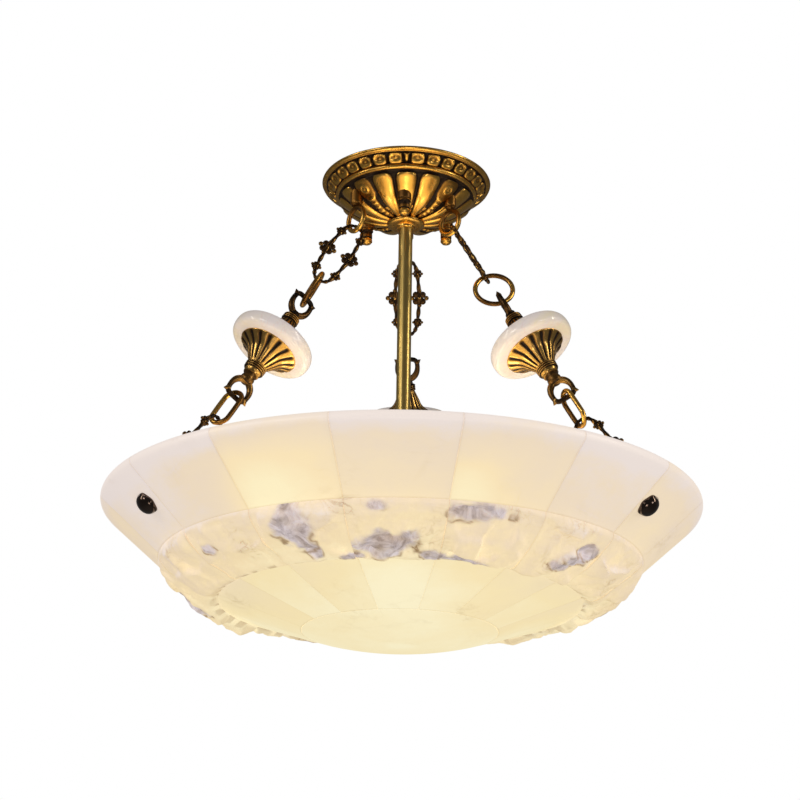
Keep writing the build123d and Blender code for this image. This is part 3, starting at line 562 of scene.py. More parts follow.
def eye_centre(name):
    """Centre of an arm's ring eye: one ring radius from the pivot, against the arm's pull in the ring's flat."""
    normal = outward(EYE_AZIMUTH[name])
    pull = arm_direction(name)
    pull = pull - normal * (pull @ normal)
    return outward(ARM_AZIMUTH[name]) * PIVOT_R + UP * PIVOT_Z - pull * EYE_RING_R / np.linalg.norm(pull)


def make_canopy():
    """Cast canopy: a closed profile turned about the axis, with the relief added along the profile's normal,
    point(i, a) = profile(i) + normal(i) * relief(i, a)."""
    lip = spread([(72.0, -0.3), (74.6, -0.3), (75.0, -1.2), (74.4, -2.4), (73.0, -3.0), (71.4, -3.2)], 0.6)
    band = spread([(70.6, -3.8), (62.6, -11.0)], 0.45)
    bead = np.array([(61.9, -11.4), (62.6, -12.4), (62.4, -13.6), (61.4, -14.4), (60.2, -14.5)])
    dome = eased_line([(59.9, -15.2), (60.0, -18.5), (53.8, -23.2), (47.4, -28.2), (39.2, -33.3), (28.6, -37.3),
                       (17.0, -39.0), (6.4, -39.2)], 2)
    dome = spread(dome, 0.9)
    inside = np.array([(6.4, -36.4), (18.0, -36.4), (28.0, -34.6), (38.0, -30.4), (46.0, -25.0), (52.0, -19.0),
                       (55.5, -12.0), (66.0, -3.4), (71.5, -1.5)])
    profile = np.concatenate([lip, band, bead, dome, inside])
    normal = facing(profile)
    azimuth = np.arange(448) * 360.0 / 448.0
    radius = profile[:, :1]
    height = np.zeros((len(profile), len(azimuth)))
    depth = np.full_like(height, 0.12)
    rows = slice(len(lip), len(lip) + len(band))
    length = along(band)
    height[rows], depth[rows] = cup_band(azimuth, radius[rows], length[:, None] / length[-1], length[-1])
    edge = np.minimum(length, length[-1] - length)[:, None]
    height[rows] *= smooth(0.0, 0.9, edge)
    rows = slice(len(lip) + len(band) + len(bead), len(lip) + len(band) + len(bead) + len(dome))
    length = along(dome)
    height[rows], depth[rows] = petal_dome(azimuth, radius[rows], length[:, None] / length[-1], length[-1])
    height[rows] *= smooth(0.0, 0.8, length)[:, None] * smooth(0.0, 6.0, length[-1] - length)[:, None]
    moved = profile[:, None, :] + height[..., None] * normal[:, None, :]
    points = outward(azimuth) * moved[..., :1] + UP * moved[..., 1:]
    shell = Shell()
    shell.grid(points, along=True, patina_and_shade=depth)
    for name in ARM_AZIMUTH:
        x, y, _ = outward(ARM_AZIMUTH[name] + 180.0) * CAP_NUT_R
        boss = [(-24.0, 2.7), (-24.0, 6.2), (-34.6, 5.9), (-35.5, 5.2), (-35.5, 2.7)]
        shell.grid(upright(x, y, spread(boss, 1.5), 36), along=True, patina_and_shade=0.5)
        x, y, _ = eye_centre(name)
        boss = [(-18.0, 2.6), (-18.0, 5.4), (-32.2, 5.4), (-32.9, 4.8), (-32.9, 2.6)]
        shell.grid(upright(x, y, spread(boss, 1.5), 30), along=True, patina_and_shade=0.35)
    shell.piece("canopy", "fixture", canopy_brass, "canopy_brass", "canopy_shell", sharp=60.0)


def make_canopy_fittings():
    """Turned collar and ring under the canopy, and the three round-ended cap nuts that hold it to its plate."""
    collar = Shell()
    top = COLLAR_Z
    flange = eased_line([(top, 6.3), (top, 16.4), (top - 1.6, 16.7), (top - 3.3, 15.0), (top - 3.5, 8.4),
                         (top - 4.4, 8.2), (top - 5.9, 7.8), (top - 6.0, 6.3)], 2)
    collar.grid(upright(0.0, 0.0, flange, 72), patina_and_shade=0.1)
    collar.piece("stem_flange", "fixture", canopy_brass, "canopy_brass", "stem_collar")
    nuts = Shell()
    shape = [(-35.7, 2.6), (-35.7, 5.6), (-37.2, 5.7), (-37.8, 5.2), (-38.4, 4.7), (-40.0, 4.9), (-43.8, 4.9),
             (-44.4, 4.2), (-45.0, 4.8), (-47.2, 5.0), (-49.0, 3.6), (-49.8, 0.6), (-49.8, 0.01)]
    mark = np.interp(spread(shape, 0.5)[:, 0], [-50.0, -45.0, -44.4, -43.0, -38.4, -36.0], [0, 0.1, 1, 0.3, 0.9, 0.3])
    for name in ARM_AZIMUTH:
        x, y, _ = outward(ARM_AZIMUTH[name] + 180.0) * CAP_NUT_R
        nuts.grid(upright(x, y, spread(shape, 0.5), 32), patina_and_shade=mark[:, None])
    nuts.piece("cap_nuts", "fixture", canopy_brass, "canopy_brass", "canopy_cap_nuts")


def make_canopy_eyes():
    """Ring eyes under the canopy: a round bar bent to a circle, on a post with a turned collar."""
    eyes = Shell()
    t = np.linspace(0.0, 2.0 * pi, 72, endpoint=False)
    for name in ARM_AZIMUTH:
        normal, centre = outward(EYE_AZIMUTH[name]), eye_centre(name)
        across = np.cross(normal, UP)
        path = centre + EYE_RING_R * (np.cos(t)[:, None] * UP + np.sin(t)[:, None] * across)
        wear = 0.5 + 0.5 * np.cos(t)[:, None]
        eyes.grid(wire(path, normal, 2.2), along=True, patina_and_shade=wear * 0.5)
        top = centre[2] + EYE_RING_R
        post = [(top, 0.01), (top, 3.0), (top + 1.4, 2.6), (-34.4, 3.4), (-34.1, 4.2), (-33.1, 4.2), (-33.05, 2.4),
                (-12.0, 2.4), (-10.2, 1.8), (-10.1, 0.01)]
        eyes.grid(upright(centre[0], centre[1], post, 24), patina_and_shade=0.5)
    eyes.piece("ring_eyes", "fixture", canopy_brass, "canopy_brass", "canopy_eyes")


def make_stem():
    """Drawn tube from the canopy to the lamp hub, the hub's turned body with its domed nut, and the holders."""
    tube = Shell()
    wall = [(STEM_TOP_Z, 4.7), (STEM_TOP_Z, 6.0), (STEM_TOP_Z - 0.3, STEM_R), (STEM_BOTTOM_Z + 0.3, STEM_R),
            (STEM_BOTTOM_Z, 6.0), (STEM_BOTTOM_Z, 4.7)]
    tube.grid(upright(0.0, 0.0, spread(wall, 12.0), 56), along=True)
    tube.piece("stem_tube", "fixture", rod_brass, "rod_brass", "stem_rod")
    hub = Shell()
    hub.grid(upright(0.0, 0.0, eased_line([
        (LAMP_Z + 12.0, 6.3), (LAMP_Z + 12.0, 13.0), (LAMP_Z + 10.4, 16.0), (LAMP_Z + 9.0, 17.0),
        (LAMP_Z - 9.0, 17.0), (LAMP_Z - 10.4, 16.0), (LAMP_Z - 12.0, 13.0), (LAMP_Z - 12.0, 6.3)], 2), 64),
             patina_and_shade=0.2)
    hub.piece("lamp_hub_body", "fixture", rod_brass, "rod_brass", "lamp_hub")
    nut = Shell()
    nut.grid(upright(0.0, 0.0, eased_line([
        (LAMP_Z - 12.1, 6.3), (LAMP_Z - 12.1, 9.0), (LAMP_Z - 16.0, 9.0), (LAMP_Z - 19.6, 5.5),
        (LAMP_Z - 20.0, 0.01)], 3), 48), patina_and_shade=0.2)
    nut.piece("hub_cap", "fixture", rod_brass, "rod_brass", "lamp_hub_nut")
    holders = Shell()
    shape = spread([(20.1, 5.2), (20.1, 12.0), (21.6, 14.0), (34.0, 14.0), (34.6, 13.2), (36.4, 13.2), (37.0, 14.0),
                    (60.6, 14.0), (62.0, 12.6), (62.0, 7.1), (36.2, 7.1), (36.2, 0.01)], 1.5)
    for azimuth in LAMP_AZIMUTH:
        axis = outward(azimuth)
        holders.grid(turning(UP * LAMP_Z, axis, UP, shape, 48))
    holders.piece("glazed_holders", "fixture", glazed, "holder_ceramic", "lampholders")
    for number, azimuth in enumerate(LAMP_AZIMUTH, start=1):
        axis = outward(azimuth)
        x = np.linspace(37.3, 60.0, 120)
        thread = [(36.2, 0.01), (36.2, 2.4), (37.2, 5.6), *zip(x, 6.45 + 0.4 * np.sin(2.0 * pi * x / 3.2)),
                  (61.0, 6.3), (61.1, 0.01)]
        Shell().grid(turning(UP * LAMP_Z, axis, UP, thread, 40)).piece(
            "bulb_%d_screw_cap" % number, "bulb_%d" % number, cap_metal, "bulb_cap_metal", "bulb_%d_cap" % number)
        a = np.linspace(radians(135.0), 0.0, 40)
        globe = eased_line([(61.2, 0.01), (61.2, 6.6), (63.5, 6.8), (66.0, 8.2), (72.0, 12.0), (79.0, 16.0)], 2)
        round_end = np.stack([LAMP_OUT + GLOBE_R * np.cos(a), GLOBE_R * np.sin(a) + 0.01], axis=1)
        Shell().grid(turning(UP * LAMP_Z, axis, UP, np.concatenate([globe, round_end]), 56)).piece(
            "bulb_%d_frosted_globe" % number, "bulb_%d" % number, frosted, "bulb_glass", "bulb_%d_globe" % number)


# ---- arms ----


def arm_place(name, distance, turn=0.0):
    """Origin and axes of an arm piece: along the arm, across it in the piece's flat, and the flat's normal."""
    side = outward(ARM_AZIMUTH[name])
    ahead = arm_direction(name)
    level = np.cross(UP, side)
    normal = level * cos(radians(turn)) + np.cross(ahead, level) * sin(radians(turn))
    return side * PIVOT_R + UP * PIVOT_Z + ahead * distance, ahead, np.cross(normal, ahead), normal


def flat_path(place, path):
    """Points of a flat path of (along, across) pairs in an arm piece's place."""
    origin, ahead, across, _ = place
    return origin + path[:, :1] * ahead + path[:, 1:] * across


def add_filigree_link(shell, place):
    """Pierced link: a wavy bar round a long six-sided loop, radius(s) = 1.75 + 0.3 sin(k s), with a square
    flower at each middle and a small one towards each end."""
    origin, ahead, across, normal = place
    corners = np.array([(-33.9, -5.8), (-22.5, -9.5), (0.0, -11.2), (22.5, -9.5), (33.9, -5.8),
                        (33.9, 5.8), (22.5, 9.5), (0.0, 11.2), (-22.5, 9.5), (-33.9, 5.8)])
    path = eased_line(corners, 4, closed=True)
    radius = 1.75 + 0.3 * np.sin(np.arange(len(path)) * 2.0 * pi * 20 / len(path))
    radius = radius * (1.0 - 0.14 * smooth(28.0, 32.0, np.abs(path[:, 0])))
    points = flat_path(place, path)
    side = np.abs(np.cos(np.linspace(0.0, 2.0 * pi, 12, endpoint=False)))[None, :]
    shell.grid(wire(points, normal, radius, 12, flat=0.92), along=True,
               patina_and_shade=0.5 - 0.7 * (radius[:, None] - 1.75) - 0.35 * side)
    axes = (ahead, across, normal)
    for x, y, size in [(0.0, -11.0, 1.52), (0.0, 11.0, 1.52),
                       *[(x, y, 0.88) for x in (-22.3, 22.3) for y in (-9.5, 9.5)]]:
        middle = origin + x * ahead + y * across
        for turn in np.arange(8) * pi / 4.0:
            corner = round(turn / (pi / 4.0)) % 2 == 0
            reach = size * (4.3 if corner else 2.9)
            wide = size * (1.45 if corner else 1.95)
            at = middle + reach * (cos(turn) * ahead + sin(turn) * across)
            shell.grid(ball(at, (wide, wide, 1.5), axes, 7, 10), patina_and_shade=0.15 if corner else 0.4)
        shell.grid(ball(middle, (2.7 * size, 2.7 * size, 1.2), axes, 5, 10), patina_and_shade=1.0)
        shell.grid(ball(middle, (1.3 * size, 1.3 * size, 1.9), axes, 7, 10), patina_and_shade=0.0)


def add_ring(shell, place, radius, bar, patina_and_shade=0.25):
    """Ring of round bar, a little flattened where the next pieces wear it."""
    _, _, _, normal = place
    t = np.linspace(0.0, 2.0 * pi, 96, endpoint=False)
    path = np.stack([radius * np.cos(t), radius * np.sin(t)], axis=1)
    worn = bar * (1.0 - 0.05 * np.cos(t) ** 8)
    shell.grid(wire(flat_path(place, path), normal, worn, 16), along=True,
               patina_and_shade=patina_and_shade + 0.3 * np.sin(2.0 * t)[:, None])


def add_oval(shell, place):
    """Oval link: round bar with two straight sides and half-round ends."""
    _, _, _, normal = place
    t = np.linspace(0.0, 2.0 * pi, 96, endpoint=False)
    straight = 8.5 * np.clip(np.cos(t) * 4.0, -1.0, 1.0)
    path = np.stack([straight + 8.4 * np.cos(t), 8.4 * np.sin(t)], axis=1)
    shell.grid(wire(flat_path(place, path), normal, 2.1, 16), along=True, patina_and_shade=0.2 + 0.25 * np.sin(t)[:, None])


def add_yoke(shell, place, stem, facing_down):
    """Stirrup: a D-shaped loop whose bar thickens towards a turned stem, with a pointed horn at each far corner."""
    origin, ahead, across, normal = place
    sign = 1.0 if facing_down else -1.0
    half = [(-9.3, 0.0), (-9.3, 6.4), (-6.6, 8.9), (0.0, 9.3), (5.0, 7.6), (8.2, 4.4), (9.4, 1.2)]
    corners = np.array(half + [(x, -y) for x, y in half[:0:-1]])
    path = eased_line(corners, 3, closed=True) * [sign, 1.0]
    bar = 2.15 + 0.75 * smooth(-4.0, 8.0, sign * path[:, 0])
    shell.grid(wire(flat_path(place, path), normal, bar, 16), along=True,
               patina_and_shade=0.25 + 0.35 * smooth(4.0, -9.0, sign * path[:, :1]))
    for side in (-1.0, 1.0):
        lean = -0.62 * sign * ahead + 0.785 * side * across
        base = origin - sign * 6.0 * ahead + across * side * 7.9
        tip = np.array([(0.0, 2.4), (1.6, 2.3), (3.0, 1.7), (4.3, 0.8), (5.2, 0.2), (5.4, 0.01)])
        shell.grid(turning(base, lean, normal, tip, 14), patina_and_shade=0.2)
    profile = np.array(stem)
    turned = turning(origin, sign * ahead, across, profile, 32)
    dark = np.interp(profile[:, 1], [2.0, 4.4, 5.5, 6.5], [0.7, 0.55, 0.45, 0.1])
    shell.grid(turned, patina_and_shade=dark[:, None])


def flutes(length, count):
    """Ripple of a fluted bell: grooves g = (|cos(count t / 2)|)^6 that run out at its lip and neck."""

    def ripple(x, r, t):
        groove = np.abs(np.cos(0.5 * count * t)) ** 6
        shut = smooth(0.3, 2.2, x) * smooth(length, length - 3.0, x)
        return -0.085 * r * groove * shut

    return ripple


def add_bell(shell, place, away, mouth_r, neck_r, length, rings):
    """Bell with its mouth on the stone disc: a flare of 16 gadroons, then turned rings up its neck."""
    origin, ahead, across, _ = place
    end = length - rings * 1.9
    flare = eased_line([(0.0, mouth_r - 1.4), (0.1, mouth_r), (1.5, mouth_r - 0.2), (0.3 * end, 0.66 * mouth_r),
                        (0.62 * end, neck_r + 0.14 * mouth_r), (end - 0.6, neck_r - 1.0)], 3)
    neck = [(end + 1.9 * k + dx, neck_r - 0.15 * k + dr) for k in range(rings)
            for dx, dr in ((0.1, -1.4), (0.4, -0.3), (0.95, 0.0), (1.5, -0.3), (1.8, -1.4))]
    body = np.concatenate([[(0.05, 0.01)], spread(flare, 0.5), neck, [(length, 0.01)]])
    x, r = body[:, :1], body[:, 1:]
    t = np.linspace(0.0, 2.0 * pi, 224, endpoint=False)[None, :]
    ripple = flutes(end, GADROONS)
    groove = -ripple(x, r, t) / (0.085 * np.maximum(r, 1.0))
    ring_dark = np.interp(x, [end, end + 0.1, end + 0.6], [0.9, 0.9, 0.0]) * (x > end - 0.1)
    lows = np.where(x > end, 0.8 * np.abs(np.cos(pi * (x - end) / 1.9)) ** 4, 0.0)
    mark = np.clip(groove + 0.4 * ring_dark + lows + 0.12 * smooth(0.5 * end, end, x), 0.0, 1.1)
    shell.grid(turning(origin, away * ahead, across, body, 224, ripple), patina_and_shade=mark)


def make_arm(name):
    """One arm, from its upper link down to the link in the bowl's eye."""
    prefix = "arm_%s_" % name
    body = "arm_" + name

    def one(tag, slot, material, build, sharp=40.0):
        shell = Shell()
        build(shell)
        shell.piece(prefix + tag + "_cast", body, material, slot, prefix + tag, sharp=sharp)

    one("upper_link", "dark_brass", dark_brass,
        lambda s: add_filigree_link(s, arm_place(name, UPPER_LINK_AT, LINK_TURN[name])), 60.0)
    one("ring", "dark_brass", canopy_brass,
        lambda s: add_ring(s, arm_place(name, RING_AT, RING_TURN[name]), 15.9, 2.1))
    seat = UPPER_BELL_TOP - UPPER_YOKE_AT
    one("upper_yoke", "bell_brass", dark_brass, lambda s: add_yoke(
        s, arm_place(name, UPPER_YOKE_AT, UPPER_YOKE_TURN[name]),
        [(7.6, 0.01), (7.6, 3.0), (9.0, 4.2), (10.2, 4.4), (10.9, 3.9), (11.6, 4.6), (seat - 0.6, 5.2), (seat, 5.0),
         (seat, 0.01)], True))
    one("upper_bell", "bell_brass", bell_brass,
        lambda s: add_bell(s, arm_place(name, UPPER_BELL_AT), -1.0, 20.0, 7.6, 27.0, 3), 50.0)
    disc = eased_line([(-6.2, 3.1), (-6.2, 26.0), (-6.25, 32.5), (-4.8, 35.6), (0.0, 36.4), (4.8, 35.6),
                       (6.25, 32.5), (6.2, 26.0), (6.2, 3.1)], 3)
    origin, ahead, across, _ = arm_place(name, DISC_AT)
    Shell().grid(turning(origin, ahead, across, disc, 96), along=True).piece(
        prefix + "polished_disc", body, disc_stone, "disc_stone", prefix + "stone_disc")
    one("lower_bell", "bell_brass", bell_brass,
        lambda s: add_bell(s, arm_place(name, LOWER_BELL_AT), 1.0, 26.0, 9.3, 25.0, 3), 50.0)
    seat = LOWER_YOKE_AT - LOWER_BELL_END
    one("lower_yoke", "bell_brass", bell_brass, lambda s: add_yoke(
        s, arm_place(name, LOWER_YOKE_AT, LOWER_YOKE_TURN[name]),
        [(7.4, 0.01), (7.4, 4.4), (9.2, 5.9), (12.0, 6.0), (14.0, 5.4), (seat - 4.4, 5.6), (seat - 3.8, 6.8),
         (seat - 2.8, 7.0), (seat - 2.2, 6.2), (seat - 1.0, 7.2), (seat, 7.4), (seat, 0.01)], False))
    one("oval_link", "dark_brass", canopy_brass, lambda s: add_oval(s, arm_place(name, OVAL_AT, OVAL_TURN[name])))
    one("lower_link", "dark_brass", dark_brass,
        lambda s: add_filigree_link(s, arm_place(name, LOWER_LINK_AT, LOWER_LINK_TURN[name])), 60.0)
    dress(prefix + "spindle", rod_brass)


# ---- bowl ----


def slope(upper, lower):
    """Direction down a wall line and its normal out of the bowl, in (radius, height)."""
    run = np.subtract(lower, upper)
    down = run / np.linalg.norm(run)
    return down, np.array([-down[1], down[0]])


def inner_corner(corner, out_a, out_b):
    """Point one wall inside a corner between two slopes, along the bisector of their normals."""
    share = WALL / (1.0 + out_a @ out_b)
    return np.asarray(corner) - share * (out_a + out_b)


reach = hypot(LIP_CENTRE[0] - BAND_CORNER[0], LIP_CENTRE[1] - BAND_CORNER[1])
cone_tilt = atan2(LIP_CENTRE[1] - BAND_CORNER[1], LIP_CENTRE[0] - BAND_CORNER[0]) - asin(LIP_R / reach)
cone_down = np.array([-cos(cone_tilt), -sin(cone_tilt)])
cone_out = np.array([sin(cone_tilt), -cos(cone_tilt)])
rough_down, rough_out = slope(BAND_CORNER, LOWER_CORNER)
lower_down, lower_out = slope(LOWER_CORNER, DISC_CORNER)
rough_length = hypot(BAND_CORNER[0] - LOWER_CORNER[0], BAND_CORNER[1] - LOWER_CORNER[1])
disc_sphere_r = (DISC_CORNER[0] ** 2 + (DISC_CORNER[1] - POLE_Z) ** 2) / (2.0 * (DISC_CORNER[1] - POLE_Z))
disc_out = np.array([DISC_CORNER[0] / disc_sphere_r, (DISC_CORNER[1] - POLE_Z) / disc_sphere_r - 1.0])
band_inner = inner_corner(BAND_CORNER, cone_out, rough_out)
lower_inner = inner_corner(LOWER_CORNER, rough_out, lower_out)
disc_inner = inner_corner(DISC_CORNER, lower_out, disc_out)

# Place of the bolts and the lines of the arms, as in the part's source
bolt_r = BAND_CORNER[0] + (-RIM_DROP - BOLT_DEPTH - BAND_CORNER[1]) * cone_down[0] / cone_down[1]
bolt_z = -RIM_DROP - BOLT_DEPTH
pivot = np.array([bolt_r, bolt_z]) - cone_out * PIVOT_DEPTH
ARM_SPAN = hypot(pivot[0] - PIVOT_R, pivot[1] - PIVOT_Z)
ARM_OUT = (pivot[0] - PIVOT_R) / ARM_SPAN
ARM_DOWN = (PIVOT_Z - pivot[1]) / ARM_SPAN
low_link_bottom = ARM_SPAN + 4.4
LOWER_LINK_AT = low_link_bottom - 33.7
OVAL_AT = low_link_bottom - 67.4 + 4.0 - 16.9
LOWER_YOKE_AT = OVAL_AT - 16.9 + 4.7 - 9.2


def lamplight(points):
    """Share of lamp light that reaches each point, the sum over the lamps of 1 / (1 + (d / 60)^2), rescaled."""
    lamps = outward(np.array(LAMP_AZIMUTH)) * LAMP_OUT + UP * LAMP_Z
    far = np.linalg.norm(points[..., None, :] - lamps, axis=-1)
    return np.clip((np.sum(1.0 / (1.0 + (far / 60.0) ** 2), axis=-1) - 0.14) * 1.75, 0.0, 1.0)


def near_spot(points, azimuth, height, size):
    """1 at a spot on the bowl's outside, falling as exp(-(d / size)^2)."""
    radius = np.interp(height, [POLE_Z, DISC_CORNER[1], LOWER_CORNER[1], BAND_CORNER[1], -RIM_DROP],
                       [0.0, DISC_CORNER[0], LOWER_CORNER[0], BAND_CORNER[0], 250.0])
    spot = outward(azimuth) * radius + UP * height
    return np.exp(-(np.linalg.norm(points - spot, axis=-1) / size) ** 2)


def block_rows(count, gap, radius):
    """Azimuths across one block, closer at its ends, and how far each lies from the nearer end in millimetres."""
    arc = 360.0 / STAVES - np.degrees(gap / radius)
    t = np.concatenate([[0.0, 0.002, 0.006], np.linspace(0.014, 0.986, count), [0.994, 0.998, 1.0]])
    return SEAM_AZIMUTH + 0.5 * np.degrees(gap / radius) + t * arc, np.minimum(t, 1.0 - t) * np.radians(arc) * radius


def add_blocks(shell, profile, tones, glow, joint, rows, shape=None):
    """Ring of glued blocks: a closed profile in (radius, height) is carried round each block's arc, its edges eased
    by 0.15 (1 - sqrt(1 - (1 - e)^2)) mm over the last half millimetre e. shape(block, azimuth) gives how far each
    point is pushed out, its crust, its brown (real stains, and on the split blocks painted shade) and what is added
    to its light. Glue stains the ends, and joint gives the dark joint line along the profile."""
    azimuth, from_end = block_rows(rows, BLOCK_GAP, BAND_CORNER[0])
    normal = facing(profile)
    edge = np.clip(from_end / 0.5, 0.0, 1.0)
    ease = 0.15 * (1.0 - np.sqrt(1.0 - (1.0 - edge) ** 2))
    glue = np.interp(from_end, [0.0, 0.3, 1.2], [0.26, 0.14, 0.0])[:, None]
    for block in range(STAVES):
        around = azimuth + block * 360.0 / STAVES
        push, crust, stain_and_shade, shade = (0.0, 0.0, 0.0, 0.0) if shape is None else shape(block, around)
        offset = push - ease[:, None]
        section = profile[None] + offset[..., None] * normal
        points = outward(around)[:, None, :] * section[..., :1] + UP * section[..., 1:]
        light = lamplight(points) + glow(block, points) + shade
        shell.grid(points, glow=np.clip(light, 0.0, 1.0), tone=tones[block], crust=crust,
                   patina_and_shade=np.maximum(np.maximum(glue, joint), stain_and_shade))


def orient(profile):
    """The profile turned so that its left-hand normals point out of it."""
    r, z = profile[:, 0], profile[:, 1]
    area = np.sum(r * np.roll(z, -1) - z * np.roll(r, -1))
    return profile[::-1] if area > 0 else profile


TONES = dict(upper=random.uniform(0.3, 0.7, STAVES), rough=random.uniform(0.35, 0.65, STAVES),
             lower=random.uniform(0.4, 0.65, STAVES))
for block, tone in ((0, 0.6), (1, 0.3), (13, 0.3), (14, 0.74), (15, 0.5), (12, 0.24), (2, 0.62)):
    TONES["upper"][block] = tone
for block, tone in ((0, 0.62), (1, 0.45), (2, 0.82), (3, 0.35), (12, 0.4), (13, 0.95), (14, 0.4), (15, 0.8)):
    TONES["lower"][block] = tone


def make_upper_band():
    """Smooth upper blocks, from the round lip down to the split blocks."""
    lip_at = np.array(LIP_CENTRE)
    top, bottom = lip_at + LIP_R * cone_out, lip_at - LIP_R * cone_out
    a = np.linspace(0.0, pi, 14)[1:-1]
    lip = lip_at + LIP_R * (np.cos(a)[:, None] * cone_out - np.sin(a)[:, None] * cone_down)
    foot = np.array(BAND_CORNER)
    outer = np.concatenate([[foot - 0.15 * cone_down, foot - 0.8 * cone_down],
                            spread([foot - 1.8 * cone_down, top], 3.5)])
    inner = spread([bottom, band_inner - 0.15 * cone_down], 6.0)
    profile = orient(np.concatenate([outer, lip, inner]))
    joint = np.interp(np.linalg.norm(profile - foot, axis=1), [0.2, 0.8, 1.8], [0.3, 0.14, 0.0])
    shell = Shell()

    def glow(block, points):
        spots = 0.5 * near_spot(points, 240.5, -346.0, 30.0) + 0.22 * near_spot(points, 250.0, -334.0, 40.0)
        if block == 0:
            spots = spots + 0.55 * near_spot(points, 283.5, -346.0, 26.0)
        return spots + 0.1 - 0.26 * smooth(-322.0, -303.0, points[..., 2])

    add_blocks(shell, profile, TONES["upper"], glow, joint, 24)
    shell.piece("upper_blocks", "bowl", band_stone, "bowl_stone", "bowl_upper_staves", sharp=50.0)


# Bare grey rind on the split blocks: azimuth, share of the way down, half sizes round and down in mm
RIND = ((244.5, 0.32, 14.0, 22.0), (247.0, 0.72, 7.0, 12.0), (266.5, 0.62, 24.0, 12.5), (286.5, 0.12, 24.0, 7.0),
        (264.5, 0.06, 6.5, 3.6), (278.0, 0.86, 8.0, 7.0), (288.0, 0.9, 17.0, 6.5), (314.0, 0.64, 11.0, 5.0),
        (317.5, 0.5, 11.0, 5.5), (321.0, 0.34, 11.0, 6.0), (257.5, 0.86, 9.0, 3.2), (217.0, 0.34, 7.0, 6.0),
        (20.0, 0.5, 16.0, 12.0), (75.0, 0.2, 12.0, 6.0), (122.0, 0.75, 20.0, 8.0), (165.0, 0.4, 9.0, 16.0))


